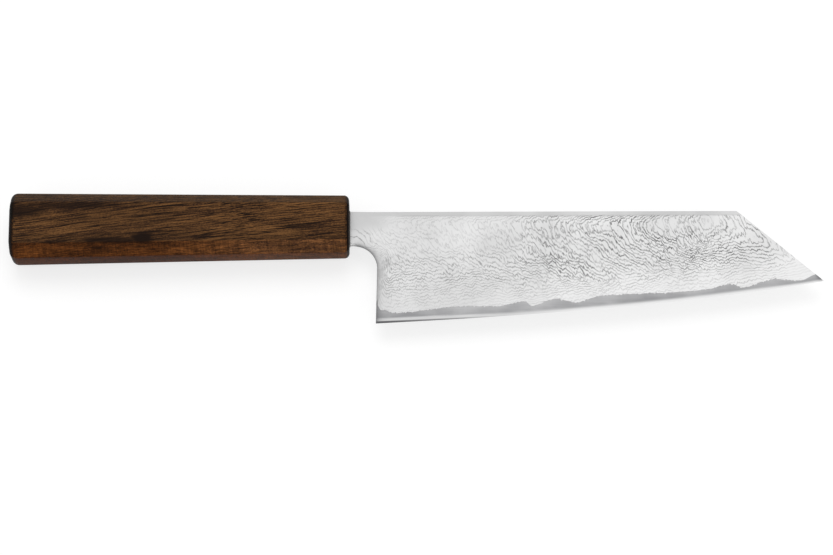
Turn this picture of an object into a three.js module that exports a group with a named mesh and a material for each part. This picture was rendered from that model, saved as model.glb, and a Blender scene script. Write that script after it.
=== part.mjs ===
// Bunka knife: a laminated blade with an angled tip, glued into a one-piece octagonal wooden handle.
// Millimetres. +X runs along the knife to its tip, +Y towards the spine, +Z out of the right face.
// The pieces are drawn from the handle's front face, on the handle's axis, and the finished knife is
// then set down with its origin at the middle of the space it takes up on the table.
import * as THREE from 'three';

// Handle: a tapered octagon with a chamfered front and a rounded, slightly crowned butt
const handleLength = 129.5;
const handleFrontHeight = 22.5;
const handleFrontWidth = 17.2;
const handleFrontBevel = 4.1;
const handleButtHeight = 25.7;
const handleButtWidth = 19.6;
const handleButtBevel = 4.65;
const handleEdgeRadius = 0.8;
const frontChamferDepth = 1.5;
const frontChamferInset = 1.5;
const buttRoundDepth = 3;
const buttRoundInset = 2.8;
const buttCrown = 0.7;
const woodBehindTang = 35;

// Blade outline, seen from the right face
const neckLength = 10;
const bladeLength = 170;
const spineAboveAxis = 5.7;
const spineFallToClip = 0.55;
const neckBelowAxis = 7.45;
const choilRadius = 9;
const choilLean = 0.55;
const heelBelowAxis = 38.15;
const tipBelowAxis = 22.75;
const edgeAngleAtHeel = 2.7;
const edgeAngleAtTip = 9.4;
const clipLength = 32.3;

// Blade thickness: full at the spine, thinning to the tip and, in a convex grind, to the edge
const spineThicknessAtHeel = 2.1;
const spineThicknessAtTip = 1.1;
const thicknessBehindEdge = 0.3;
const edgeBevelHeight = 1.2;
const grindRoundness = 1.6;
const coreThickness = 0.7;
const spineEasingHeight = 1.5;
const spineEasingDepth = 0.3;
const choilEasingWidth = 1.8;
const choilEasingDepth = 0.35;

// Tang and its resin bed
const tangThickness = 2.4;
const tangEndThickness = 1.8;
const tangEndHeight = 5;
const resinGap = 0.35;
const resinBehindTang = 2;
const resinBead = 0.4;

// Line where the cladding stops: places along the edge as shares of the way from heel to tip, and
// heights above the sharpened bevel. Each is a crest or a dip of the hand-forged line.
const claddingLine = [
  { along: 0.0, above: 4.2 },
  { along: 0.045, above: 2.5 },
  { along: 0.18, above: 3.6 },
  { along: 0.275, above: 2.7 },
  { along: 0.33, above: 4.0 },
  { along: 0.348, above: 1.9 },
  { along: 0.4, above: 4.0 },
  { along: 0.447, above: 1.9 },
  { along: 0.5, above: 3.7 },
  { along: 0.73, above: 1.9 },
  { along: 0.79, above: 2.9 },
  { along: 0.82, above: 0.9 },
  { along: 0.885, above: 2.5 },
  { along: 0.95, above: 0.4 },
];
const claddingAboveHeel = 6.5;
const bareTipLength = 3;

// Fineness of the curved surfaces
const octagonCornerSteps = 2;
const buttRoundSteps = 4;
const buttCrownSteps = 3;
const choilArcSteps = 7;
const choilSteps = 3;
const edgeSteps = 64;
const bareTipSteps = 2;
const beadSteps = 3;
const faceSteps = 4;
const fanReach = 16;
const fanLength = 60;
const weld = 1e-3;

const { lerp, clamp, smoothstep, degToRad } = THREE.MathUtils;

// A closed skin of triangles, sewn from rings that run from +Y to +Z about the X axis.
class Skin {
  constructor() {
    this.points = [];
    this.corners = [];
    this.known = new Map();
  }

  vertex(point) {
    const key = point.toArray().map((value) => Math.round(value / weld)).join();
    if (!this.known.has(key)) {
      this.known.set(key, this.points.length);
      this.points.push(point);
    }
    return this.known.get(key);
  }

  triangle(first, second, third) {
    const [a, b, c] = [first, second, third].map((point) => this.vertex(point));
    if (a !== b && b !== c && c !== a) {
      this.corners.push(a, b, c);
    }
  }

  // Sews two rings together. Leaning back splits each four-sided patch along its other diagonal,
  // so that two solids which share a surface split it alike.
  band(near, far, leanBack = false) {
    near.forEach((a, i) => {
      const next = (i + 1) % near.length;
      const [b, c, d] = [near[next], far[next], far[i]];
      if (leanBack) {
        this.triangle(a, b, d);
        this.triangle(b, c, d);
      } else {
        this.triangle(a, b, c);
        this.triangle(a, c, d);
      }
    });
  }

  chain(rings, leanBack = false) {
    rings.slice(1).forEach((ring, i) => this.band(rings[i], ring, leanBack));
  }

  // Closes a ring with a flat lid that faces +X, or -X where the ring is the rear end.
  lid(ring, facesBack = false) {
    const loop = facesBack ? [...ring].reverse() : ring;
    const used = loop.filter((point, i) => this.vertex(point) !== this.vertex(loop.at(i - 1)));
    used.slice(2).forEach((point, i) => this.triangle(used[0], used[i + 1], point));
  }

  // Fills the flat face between an outer ring and a hole, facing +X.
  faceWithHole(ring, hole) {
    const flat = (loop) => loop.map((point) => new THREE.Vector2(point.y, point.z));
    const back = [...hole].reverse();
    const all = [...ring, ...back];
    THREE.ShapeUtils.triangulateShape(flat(ring), [flat(back)])
      .forEach(([a, b, c]) => this.triangle(all[a], all[b], all[c]));
  }

  geometry() {
    const geometry = new THREE.BufferGeometry().setFromPoints(this.points);
    geometry.setIndex(this.corners);
    geometry.computeVertexNormals();
    return geometry;
  }
}

// Blade outline
const heelX = neckLength;
const tipX = heelX + bladeLength;
const clipX = tipX - clipLength;
const choilArcRadius = Math.min(choilRadius, heelX + choilLean - 2 * resinBead);
const choilTop = new THREE.Vector2(heelX + choilLean, -neckBelowAxis - choilArcRadius);
const choilCentre = new THREE.Vector2(choilTop.x - choilArcRadius, choilTop.y);
const heel = new THREE.Vector2(heelX, -heelBelowAxis);
const tip = new THREE.Vector2(tipX, -tipBelowAxis);
const third = bladeLength / 3;
const belly = new THREE.Vector2(heelX + third, heel.y + third * Math.tan(degToRad(edgeAngleAtHeel)));
const sweep = new THREE.Vector2(tipX - third, tip.y - third * Math.tan(degToRad(edgeAngleAtTip)));
const edgeCurve = new THREE.CubicBezierCurve(heel, belly, sweep, tip);

const edgeAt = (x) => edgeCurve.getPoint(clamp((x - heelX) / bladeLength, 0, 1)).y;
const spineAt = (x) => spineAboveAxis - spineFallToClip * (x / clipX);
const clipCorner = new THREE.Vector2(clipX, spineAt(clipX));

// Top of the blade at a place along it: the spine, then the straight cut down to the tip.
function topAt(x) {
  return x <= clipX ? spineAt(x) : lerp(clipCorner.y, tip.y, (x - clipX) / clipLength);
}

// Back of the heel at a height below the choil's round.
const choilX = (y) => lerp(choilTop.x, heel.x, (choilTop.y - y) / (choilTop.y - heel.y));

// Distance of a point on the face from the neck's underside, the choil's round or the heel's back.
function distanceFromChoil(x, y) {
  if (y < choilTop.y) {
    return x - choilX(y);
  }
  if (x < choilCentre.x) {
    return y + neckBelowAxis;
  }
  return Math.hypot(x - choilCentre.x, y - choilCentre.y) - choilArcRadius;
}

// Tang: it narrows evenly from the mouth of the handle to its end
const tangLength = handleLength - woodBehindTang;
const tangEndMiddle = (spineAboveAxis - neckBelowAxis) / 2;

// Half the blade's thickness at a point of its face.
function outerHalf(x, y) {
  if (x <= resinBead) {
    return lerp(tangThickness, tangEndThickness, clamp(-x / tangLength, 0, 1)) / 2;
  }
  const spineThickness = lerp(
    spineThicknessAtHeel,
    spineThicknessAtTip,
    clamp((x - heelX) / bladeLength, 0, 1),
  );
  const edge = edgeAt(x);
  const above = y - edge;
  const upGrind = clamp((above - edgeBevelHeight) / (spineAt(x) - edge - edgeBevelHeight), 0, 1);
  const ground = lerp(thicknessBehindEdge, spineThickness, 1 - (1 - upGrind) ** grindRoundness);
  const sharpened = above < edgeBevelHeight ? Math.max(above, 0) / edgeBevelHeight : 1;
  const leavesNeck = smoothstep(x, resinBead, heelX);
  const half = lerp(tangThickness, ground * sharpened, leavesNeck) / 2;
  const ease = (distance, width, depth) => depth * clamp(1 - distance / width, 0, 1) ** 2;
  const eased = ease(spineAt(x) - y, spineEasingHeight, spineEasingDepth)
    + ease(distanceFromChoil(x, y), choilEasingWidth, choilEasingDepth);
  return half - Math.min(eased * leavesNeck, half / 2);
}

// Height of the cladding's lower line above the edge, by the share of the way from heel to tip. The
// line swings smoothly between its crests and dips, and ends on the angled cut behind the tip.
const bareTipFrom = 1 - bareTipLength / bladeLength;
const bareTipX = tipX - bareTipLength;
const lineEnd = { along: bareTipFrom, above: topAt(bareTipX) - edgeAt(bareTipX) - edgeBevelHeight };
function claddingAbove(along) {
  const line = [...claddingLine, lineEnd];
  const after = Math.max(line.findIndex((knot) => knot.along >= along), 1);
  const [from, to] = [line[after - 1], line[after]];
  return edgeBevelHeight + lerp(from.above, to.above, smoothstep(along, from.along, to.along));
}

// Stations: straight lines across the blade from its underside to its top, from the tang's end to the
// tip. Each one knows how far up it the cladding starts, and how high the sharpened bevel is on it.
class Station {
  constructor(bottom, top, claddingFrom = 0, bevelAt = 0) {
    this.bottom = bottom;
    this.top = top;
    this.length = bottom.distanceTo(top);
    this.claddingFrom = Math.min(claddingFrom, this.length);
    this.bevelAt = Math.min(bevelAt, this.length / 2);
  }

  at(distance) {
    const share = this.length > 0 ? distance / this.length : 0;
    return this.bottom.clone().lerp(this.top, share);
  }

  outer(distance) {
    const { x, y } = this.at(distance);
    return new THREE.Vector3(x, y, outerHalf(x, y));
  }

  // The joint between core and cladding leaves the ground face at the cladding's lower line and
  // settles to the core's own thickness, always inside the ground face.
  inner(distance) {
    const { x, y, z } = this.outer(distance);
    const seam = this.claddingFrom > 0 ? this.outer(this.claddingFrom).z : seamOnHeel;
    const room = Math.max(z - seam, 0) / 2;
    return new THREE.Vector3(x, y, seam + clamp(coreThickness / 2 - seam, -room, room));
  }

  // Distances up the cladding's face, with closer rows where its lower end and the spine are eased.
  faceRows() {
    const span = this.length - this.claddingFrom;
    const low = Math.min(choilEasingWidth, span / faceSteps);
    const high = Math.min(spineEasingHeight, span / faceSteps);
    const middle = Array.from({ length: faceSteps + 1 }, (_, i) => lerp(low, span - high, i / faceSteps));
    return [0, low / 2, ...middle, span - high / 2, span].map((row) => this.claddingFrom + row);
  }

  jointRows() {
    return [this.claddingFrom, lerp(this.claddingFrom, this.length, 1 / faceSteps), this.length];
  }

  // The bare core below the cladding: the top of the sharpened bevel, then the edge itself.
  bare() {
    const shows = this.claddingFrom > 0;
    return [this.bevelAt, 0].map((row) => (shows ? this.outer(row) : this.inner(row)));
  }
}

// The tang's square end needs no rows between its corners.
class TangEnd extends Station {
  faceRows() {
    return super.faceRows().map((row) => (row < this.length ? 0 : row));
  }

  jointRows() {
    return super.jointRows().map((row) => (row < this.length ? 0 : row));
  }
}

// Place on the back of the heel where the cladding's line ends, and half the core's thickness there.
const seamHeight = edgeBevelHeight + claddingAboveHeel;
const seamPlace = new THREE.Vector2(choilX(heel.y + seamHeight), heel.y + seamHeight);
const seamOnHeel = outerHalf(seamPlace.x, seamPlace.y);

// Stations across the tang and the neck.
function tangStations() {
  const upright = (x) => new Station(
    new THREE.Vector2(x, -neckBelowAxis),
    new THREE.Vector2(x, spineAt(x)),
  );
  const end = new TangEnd(
    new THREE.Vector2(-tangLength, tangEndMiddle - tangEndHeight / 2),
    new THREE.Vector2(-tangLength, tangEndMiddle + tangEndHeight / 2),
  );
  return [end, upright(0), upright(resinBead), upright(choilCentre.x)];
}

// Stations that fan out round the choil and down the back of the heel.
function choilStations() {
  const round = new THREE.EllipseCurve(
    choilCentre.x, choilCentre.y, choilArcRadius, choilArcRadius, Math.PI / 2, 0, true,
  );
  const straight = new THREE.LineCurve(choilTop, seamPlace);
  const bottoms = [
    ...round.getPoints(choilArcSteps).slice(1),
    ...straight.getPoints(choilSteps).slice(1),
    new THREE.Vector2(choilX(heel.y + edgeBevelHeight), heel.y + edgeBevelHeight),
  ];
  const fan = (i) => lerp(choilCentre.x, heelX + fanReach, (i + 1) / (bottoms.length + 1));
  return bottoms.map((bottom, i) => {
    const height = bottom.y - heel.y;
    const line = lerp(claddingAbove(0), seamHeight, height / seamHeight);
    return new Station(bottom, new THREE.Vector2(fan(i), spineAt(fan(i))), Math.max(line - height, 0));
  });
}

// Stations along the cutting edge, at even steps and at each crest and dip of the cladding's line.
function edgeStations() {
  const even = Array.from({ length: edgeSteps }, (_, i) => (i / edgeSteps) * bareTipFrom);
  const tipShares = Array.from({ length: bareTipSteps + 1 }, (_, i) => i / bareTipSteps);
  const bareTip = tipShares.map((share) => lerp(bareTipFrom, 1, share));
  const marks = [...claddingLine.map((knot) => knot.along), (clipX - heelX) / bladeLength, ...bareTip];
  const closest = bareTipFrom / edgeSteps / 2;
  const clear = even.filter((along) => marks.every((mark) => Math.abs(mark - along) > closest));
  return [...clear, ...marks].sort((a, b) => a - b).map((along) => {
    const bottom = edgeCurve.getPoint(along);
    const lean = fanReach * clamp(1 - (bottom.x - heelX) / fanLength, 0, 1) ** 2;
    const top = new THREE.Vector2(bottom.x + lean, topAt(bottom.x + lean));
    const bare = along < bareTipFrom ? claddingAbove(along) : Infinity;
    return new Station(bottom, top, bare, edgeBevelHeight);
  });
}

const stations = [...tangStations(), ...choilStations(), ...edgeStations()];

const mirrored = (points) => points.map(({ x, y, z }) => new THREE.Vector3(x, y, -z)).reverse();

// Core: bare at the edge, the heel and the tip, and sandwiched between the claddings above their line.
function coreSteel() {
  const skin = new Skin();
  const rings = stations.map((station) => {
    const joint = station.jointRows().map((row) => station.inner(row));
    const right = [...joint.reverse(), ...station.bare()];
    return [...right, ...mirrored(right)];
  });
  skin.chain(rings);
  skin.lid(rings[0], true);
  return skin.geometry();
}

// Cladding: the ground face outside, the joint with the core inside.
function cladding(onRight) {
  const skin = new Skin();
  const rings = stations.map((station) => {
    const face = station.faceRows().map((row) => station.outer(row));
    const joint = station.jointRows().map((row) => station.inner(row));
    const right = [...face.reverse(), ...joint];
    return onRight ? right : mirrored(right);
  });
  skin.chain(rings, true);
  skin.lid(rings[0], true);
  return skin.geometry();
}

// Section of the handle at a place on its axis, drawn in by an inset, with eased corners.
function handleSection(x, inset) {
  const share = -x / handleLength;
  const top = lerp(handleFrontHeight, handleButtHeight, share) / 2 - inset;
  const side = lerp(handleFrontWidth, handleButtWidth, share) / 2 - inset;
  const bevel = lerp(handleFrontBevel, handleButtBevel, share) - inset * (2 - Math.SQRT2);
  const corners = [
    [top, bevel - side], [top, side - bevel], [top - bevel, side], [bevel - top, side],
    [-top, side - bevel], [-top, bevel - side], [bevel - top, -side], [top - bevel, -side],
  ].map(([y, z]) => new THREE.Vector2(y, z));
  const trim = handleEdgeRadius * Math.tan(Math.PI / corners.length);
  const outline = new THREE.Path();
  corners.forEach((corner, i) => {
    const towards = (other) => corner.clone().add(other.clone().sub(corner).setLength(trim));
    const enter = towards(corners.at(i - 1));
    const leave = towards(corners[(i + 1) % corners.length]);
    if (i === 0) {
      outline.moveTo(enter.x, enter.y);
    } else {
      outline.lineTo(enter.x, enter.y);
    }
    outline.quadraticCurveTo(corner.x, corner.y, leave.x, leave.y);
  });
  return outline.getPoints(octagonCornerSteps).map((point) => new THREE.Vector3(x, point.x, point.y));
}

// Four corners of the tang's section at a place, grown outwards by the resin's thickness there.
function slotRing(station, grow, x = station.bottom.x) {
  const half = outerHalf(station.bottom.x, station.bottom.y) + grow;
  const [low, high] = [station.bottom.y - grow, station.top.y + grow];
  const corners = [[high, -half], [high, half], [low, half], [low, -half]];
  return corners.map(([y, z]) => new THREE.Vector3(x, y, z));
}

const [tangEnd, mouth, beadFront] = stations;
const slotEndX = -tangLength - resinBehindTang;
const slotRings = [
  slotRing(tangEnd, resinGap, slotEndX),
  slotRing(tangEnd, resinGap),
  slotRing(mouth, resinGap),
];

// Handle: from the crown of the butt to the front face, then into the blind slot for the tang.
function handle() {
  const skin = new Skin();
  const roundFrom = buttCrown + buttRoundDepth - handleLength;
  const rim = handleSection(buttCrown - handleLength, buttRoundInset);
  const crown = Array.from({ length: buttCrownSteps }, (_, i) => {
    const share = i / buttCrownSteps;
    const x = buttCrown * share ** 2 - handleLength;
    return rim.map(({ y, z }) => new THREE.Vector3(x, y * share, z * share));
  });
  const round = Array.from({ length: buttRoundSteps + 1 }, (_, i) => {
    const turn = (1 - i / buttRoundSteps) * (Math.PI / 2);
    const x = roundFrom - buttRoundDepth * Math.sin(turn);
    return handleSection(x, buttRoundInset * (1 - Math.cos(turn)));
  });
  const front = [handleSection(-frontChamferDepth, 0), handleSection(0, frontChamferInset)];
  skin.chain([...crown, ...round, ...front]);
  skin.faceWithHole(front[1], slotRings[2]);
  skin.chain([...slotRings].reverse());
  skin.lid(slotRings[0]);
  return skin.geometry();
}

// Resin: a sleeve between slot and tang, closed behind the tang, with a low bead round the neck.
function tangBond() {
  const skin = new Skin();
  const bead = Array.from({ length: beadSteps - 1 }, (_, i) => {
    const turn = ((i + 1) / beadSteps) * (Math.PI / 2);
    return slotRing(mouth, resinGap * Math.cos(turn), resinBead * Math.sin(turn));
  });
  const tang = [beadFront, mouth, tangEnd].map((station) => slotRing(station, 0));
  const rings = [...slotRings, ...bead, ...tang];
  skin.chain(rings);
  skin.lid(rings[0], true);
  skin.lid(rings.at(-1));
  return skin.geometry();
}

function piece(name, geometry, color, roughness, metalness) {
  const mesh = new THREE.Mesh(geometry, new THREE.MeshStandardMaterial({ color, roughness, metalness }));
  mesh.name = name;
  return mesh;
}

const knife = new THREE.Group();
knife.add(
  piece('core_steel', coreSteel(), 0xa2a4a6, 0.35, 1),
  piece('cladding_right', cladding(true), 0xdfe0e1, 0.4, 1),
  piece('cladding_left', cladding(false), 0xdfe0e1, 0.4, 1),
  piece('handle', handle(), 0x4b3421, 0.5, 0),
  piece('tang_bond', tangBond(), 0x3b362f, 0.4, 0),
);

// Lying on its left side: the origin is under the middle of its bounding box.
const reach = new THREE.Box3().setFromObject(knife);
const middle = reach.getCenter(new THREE.Vector3());
knife.position.set(-middle.x, -middle.y, -reach.min.z);

export default knife;
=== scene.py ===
"""Looks of the bunka knife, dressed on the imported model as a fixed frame.

Sizes are in millimetres, measured from the middle of the handle's front face: x towards the tip,
y towards the spine, z out of the right face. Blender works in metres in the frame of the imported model.
"""

import logging
import math
from collections.abc import Callable, Sequence
from dataclasses import dataclass, field
from enum import Enum

import bmesh
import bpy
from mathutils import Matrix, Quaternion, Vector, noise


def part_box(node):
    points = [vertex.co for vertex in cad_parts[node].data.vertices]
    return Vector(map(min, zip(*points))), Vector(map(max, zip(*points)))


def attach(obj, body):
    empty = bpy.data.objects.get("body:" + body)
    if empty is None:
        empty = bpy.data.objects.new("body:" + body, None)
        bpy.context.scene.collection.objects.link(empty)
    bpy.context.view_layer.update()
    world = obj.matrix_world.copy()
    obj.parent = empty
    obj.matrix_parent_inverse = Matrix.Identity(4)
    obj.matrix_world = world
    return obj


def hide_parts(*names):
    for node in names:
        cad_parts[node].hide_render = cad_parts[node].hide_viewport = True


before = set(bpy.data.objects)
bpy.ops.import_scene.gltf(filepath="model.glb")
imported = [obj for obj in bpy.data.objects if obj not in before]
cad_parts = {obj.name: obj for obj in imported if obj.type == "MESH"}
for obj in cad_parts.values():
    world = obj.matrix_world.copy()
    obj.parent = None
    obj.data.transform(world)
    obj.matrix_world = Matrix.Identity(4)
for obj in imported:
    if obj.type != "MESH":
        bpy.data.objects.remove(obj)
log = logging.getLogger("knife")

MM = 0.001
IMAGE_WIDTH = 833
IMAGE_HEIGHT = 555


class Side(Enum):
    """Face of the blade, with the direction of its outward normal along z."""

    RIGHT = 1
    LEFT = -1


# Small helpers


def lerp(start: float, end: float, share: float) -> float:
    """Value a share of the way from start to end."""
    return start + (end - start) * share


def clamp(value: float, low: float = 0.0, high: float = 1.0) -> float:
    """Value kept between low and high."""
    return max(low, min(high, value))


def ease(value: float, start: float, end: float) -> float:
    """Smooth step from 0 at start to 1 at end."""
    share = clamp((value - start) / (end - start))
    return share * share * (3.0 - 2.0 * share)


def soft_min(first: float, second: float, blend: float) -> float:
    """Lower of two values, with the change from one to the other rounded over a blend."""
    share = clamp(0.5 + 0.5 * (second - first) / blend)
    return lerp(second, first, share) - blend * share * (1.0 - share)


@dataclass(frozen=True)
class Ramp:
    """A value that goes smoothly from low to high while another goes from start to end."""

    start: float
    end: float
    low: float = 0.0
    high: float = 1.0

    def at(self, value: float) -> float:
        """Value of the ramp for a value of the other."""
        return lerp(self.low, self.high, ease(value, self.start, self.end))


@dataclass(frozen=True)
class Patch:
    """An oval place on the blade's face, with its gain in the middle and less of it outwards."""

    x: float
    y: float
    reach_x: float
    reach_y: float
    gain: float

    def at(self, point: Vector) -> float:
        """Find the gain that is left at a point.

        Args:
            point: point of the face in millimetres.

        Returns:
            The gain there.
        """
        along = (point.x - self.x) / self.reach_x
        across = (point.y - self.y) / self.reach_y
        return self.gain * math.exp(-(along**2) - across**2)


def linear(hex_colour: str) -> tuple[float, float, float, float]:
    """Turn an sRGB hex colour into Blender's linear colour.

    Args:
        hex_colour: six hex digits after a number sign.

    Returns:
        Linear red, green, blue and an alpha of one.
    """
    channels = []
    for place in (1, 3, 5):
        value = int(hex_colour[place : place + 2], 16) / 255.0
        if value <= 0.04045:
            channels.append(value / 12.92)
        else:
            channels.append(((value + 0.055) / 1.055) ** 2.4)
    return (channels[0], channels[1], channels[2], 1.0)


def add_node(
    tree: bpy.types.NodeTree, kind: str, sockets: dict | None = None, **settings: object
) -> bpy.types.Node:
    """Add one node with its settings, values and links.

    Args:
        tree: node tree that takes the node.
        kind: Blender's name for the node's type.
        sockets: input socket, by name or number, and the value or output socket that goes into it.
        **settings: properties of the node.

    Returns:
        The new node.
    """
    made = tree.nodes.new(kind)
    for name, value in settings.items():
        setattr(made, name, value)
    for key, value in (sockets or {}).items():
        if isinstance(value, bpy.types.NodeSocket):
            tree.links.new(value, made.inputs[key])
        else:
            made.inputs[key].default_value = value
    return made


def blank_material(name: str) -> tuple[bpy.types.Material, bpy.types.NodeTree, bpy.types.Node]:
    """Make a material that holds only a surface shader.

    Args:
        name: name of the real material.

    Returns:
        The material, its node tree and its surface shader.
    """
    material = bpy.data.materials.new(name)
    material.use_nodes = True
    tree = material.node_tree
    tree.nodes.clear()
    shader = add_node(tree, "ShaderNodeBsdfPrincipled")
    add_node(tree, "ShaderNodeOutputMaterial", {"Surface": shader.outputs["BSDF"]})
    return material, tree, shader


class Workpiece:
    """A mesh on the bench: a primitive that is shaped in edit mode, its parts picked by place."""

    def __init__(self, name: str) -> None:
        """Take the primitive that was just added, set its place into its mesh and open it.

        Args:
            name: name of the piece.
        """
        self.body: bpy.types.Object = bpy.context.active_object
        self.body.name = name
        self.body.data.name = name
        bpy.ops.object.transform_apply(location=True, rotation=True, scale=True)
        bpy.ops.object.mode_set(mode="EDIT")

    def pick_edges(self, wanted: Callable[[Vector, Vector], bool]) -> None:
        """Select the edges whose two ends are wanted.

        Args:
            wanted: test of the two ends, in metres.
        """
        bpy.ops.mesh.select_mode(type="EDGE")
        bpy.ops.mesh.select_all(action="DESELECT")
        mesh = bmesh.from_edit_mesh(self.body.data)
        for edge in mesh.edges:
            if wanted(edge.verts[0].co, edge.verts[1].co):
                edge.select_set(True)
        bmesh.update_edit_mesh(self.body.data)

    def pick_faces(self, wanted: Callable[[Vector, Vector], bool]) -> None:
        """Select the faces whose middle and outward normal are wanted.

        Args:
            wanted: test of the middle, in metres, and of the normal.
        """
        bpy.ops.mesh.select_mode(type="FACE")
        bpy.ops.mesh.select_all(action="DESELECT")
        mesh = bmesh.from_edit_mesh(self.body.data)
        mesh.normal_update()
        for face in mesh.faces:
            if wanted(face.calc_center_median(), face.normal):
                face.select_set(True)
        bmesh.update_edit_mesh(self.body.data)

    def close(self) -> bpy.types.Object:
        """Leave edit mode and hand over the piece."""
        bpy.ops.object.mode_set(mode="OBJECT")
        return self.body


def set_in_frame(piece: bpy.types.Object, node: str, finish: bpy.types.Material) -> None:
    """Dress a finished piece and let it stand for its node of the frame.

    Args:
        piece: finished mesh object.
        node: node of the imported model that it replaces.
        finish: material of the piece.
    """
    piece.data.materials.clear()
    piece.data.materials.append(finish)
    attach(piece, "root")
    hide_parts(node)
    log.info("%s: %d faces", piece.name, len(piece.data.polygons))


# Finishes


@dataclass(frozen=True)
class LayeredSteel:
    """Forge-welded, etched stainless cladding.

    The etch leaves one steel pale and satin and bites a dull grey line into the other, so wavy layer
    lines run over a bright, softly reflecting face. Painted shade darkens the face towards neck and
    heel and in the strip along the spine, and darker painted shade lies round the choil and in the
    crease under the strip.
    """

    pale: str = "#F0F0F0"
    # Pale is the steel's own colour; shaded is the colour of the painted shade.
    shaded: str = "#CCCCCC"
    etched: str = "#3E3E3F"
    # Colour of the painted shade round the choil and the heel and in the crease under the spine's strip.
    painted_shade: str = "#5E5E60"
    roughness: float = 0.34
    etched_roughness: float = 0.54
    # Size of each kind of unrest along and across the blade, and how many layers it lifts.
    wave_mm: tuple[float, float] = (14.0, 9.0)
    wave_layers: float = 3.2
    ripple_mm: tuple[float, float] = (2.4, 9.0)
    ripple_layers: float = 2.2
    shiver_mm: tuple[float, float] = (0.6, 2.6)
    shiver_layers: float = 1.3
    lean_degrees: float = 20.0
    break_mm: float = 1.8
    cluster_mm: float = 6.5
    cloud_mm: float = 15.0
    cloud_depth: float = 0.22
    border_mm: float = 7.0
    border_stray_mm: float = 16.0
    border_blend_mm: float = 2.0
    # Distance from the middle of a line where it starts to fade, and where it ends.
    line_mm: tuple[float, float] = (0.07, 0.26)
    least_slope: float = 0.3
    slope_power: float = 0.8
    shoulder_depth: float = 0.12
    palest_line: float = 0.6

    def unrest(self, tree: bpy.types.NodeTree, place: bpy.types.NodeSocket) -> bpy.types.NodeSocket:
        """Add up the swell, the leaning ripples and the fine shiver of the layers.

        Args:
            tree: node tree of the material.
            place: place on the piece.

        Returns:
            Layers by which the pattern is lifted.
        """
        lift = 0.0
        for size, layers in (
            (self.wave_mm, self.wave_layers),
            (self.ripple_mm, self.ripple_layers),
            (self.shiver_mm, self.shiver_layers),
        ):
            spread = add_node(
                tree,
                "ShaderNodeMapping",
                {
                    "Vector": place,
                    "Rotation": (0.0, 0.0, math.radians(self.lean_degrees)),
                    "Scale": (size[0] * MM, size[1] * MM, size[1] * MM),
                },
                vector_type="TEXTURE",
            ).outputs[0]
            swell = add_node(
                tree,
                "ShaderNodeTexNoise",
                {"Vector": spread, "Scale": 1.0, "Detail": 1.0, "Roughness": 0.5},
            ).outputs["Fac"]
            lift = add_node(
                tree, "ShaderNodeMath", {0: swell, 1: layers, 2: lift}, operation="MULTIPLY_ADD"
            ).outputs[0]
        return lift

    def lines(
        self, tree: bpy.types.NodeTree, layers: bpy.types.NodeSocket, unrest: bpy.types.NodeSocket
    ) -> bpy.types.NodeSocket:
        """Draw one line for each layer, thinner where the lines crowd, some darker than others.

        A layer that is ground at a low angle lies bare over a wide stretch, and the etch still marks
        only its border. So the distance to that border is the share of the layer over its slope, and
        the slope is how far a bump of one millimetre for each layer would tilt the face.

        Args:
            tree: node tree of the material.
            layers: number of the layer that lies bare.
            unrest: layers by which the pattern is lifted.

        Returns:
            Strength of the line.
        """
        height = add_node(tree, "ShaderNodeMath", {0: layers, 1: unrest}, operation="ADD").outputs[0]
        zigzag = add_node(tree, "ShaderNodeMath", {0: height, 1: 0.5}, operation="PINGPONG").outputs[0]
        tilted = add_node(
            tree, "ShaderNodeBump", {"Height": height, "Distance": MM, "Strength": 1.0}
        ).outputs["Normal"]
        upright = add_node(tree, "ShaderNodeNewGeometry").outputs["Normal"]
        tilt = add_node(
            tree, "ShaderNodeVectorMath", {0: tilted, 1: upright}, operation="DOT_PRODUCT"
        ).outputs["Value"]
        tilt = add_node(tree, "ShaderNodeMath", {0: tilt}, operation="ARCCOSINE").outputs[0]
        slope = add_node(tree, "ShaderNodeMath", {0: tilt}, operation="TANGENT").outputs[0]
        slope = add_node(
            tree, "ShaderNodeMath", {0: slope, 1: self.least_slope}, operation="MAXIMUM"
        ).outputs[0]
        slope = add_node(
            tree, "ShaderNodeMath", {0: slope, 1: self.slope_power}, operation="POWER"
        ).outputs[0]
        apart = add_node(tree, "ShaderNodeMath", {0: zigzag, 1: slope}, operation="DIVIDE").outputs[0]
        line = add_node(
            tree,
            "ShaderNodeMapRange",
            {
                "Value": apart,
                "From Min": self.line_mm[0],
                "From Max": self.line_mm[1],
                "To Min": 1.0,
                "To Max": 0.0,
            },
            interpolation_type="SMOOTHSTEP",
        ).outputs["Result"]
        shoulder = add_node(
            tree,
            "ShaderNodeMapRange",
            {"Value": zigzag, "From Max": 0.5, "To Min": self.shoulder_depth, "To Max": 0.0},
        ).outputs["Result"]
        line = add_node(tree, "ShaderNodeMath", {0: line, 1: shoulder}, operation="MAXIMUM").outputs[0]
        number = add_node(tree, "ShaderNodeMath", {0: height, 1: 0.5}, operation="ADD").outputs[0]
        number = add_node(tree, "ShaderNodeMath", {0: number}, operation="FLOOR").outputs[0]
        chance = add_node(
            tree, "ShaderNodeTexWhiteNoise", {"W": number}, noise_dimensions="1D"
        ).outputs["Value"]
        steel = add_node(
            tree,
            "ShaderNodeMapRange",
            {"Value": chance, "To Min": self.palest_line, "To Max": 1.0},
        ).outputs["Result"]
        return add_node(tree, "ShaderNodeMath", {0: line, 1: steel}, operation="MULTIPLY").outputs[0]

    def material(self) -> bpy.types.Material:
        """Build the material from the piece's own attributes and solid noise.

        Returns:
            The finished material.
        """
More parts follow.
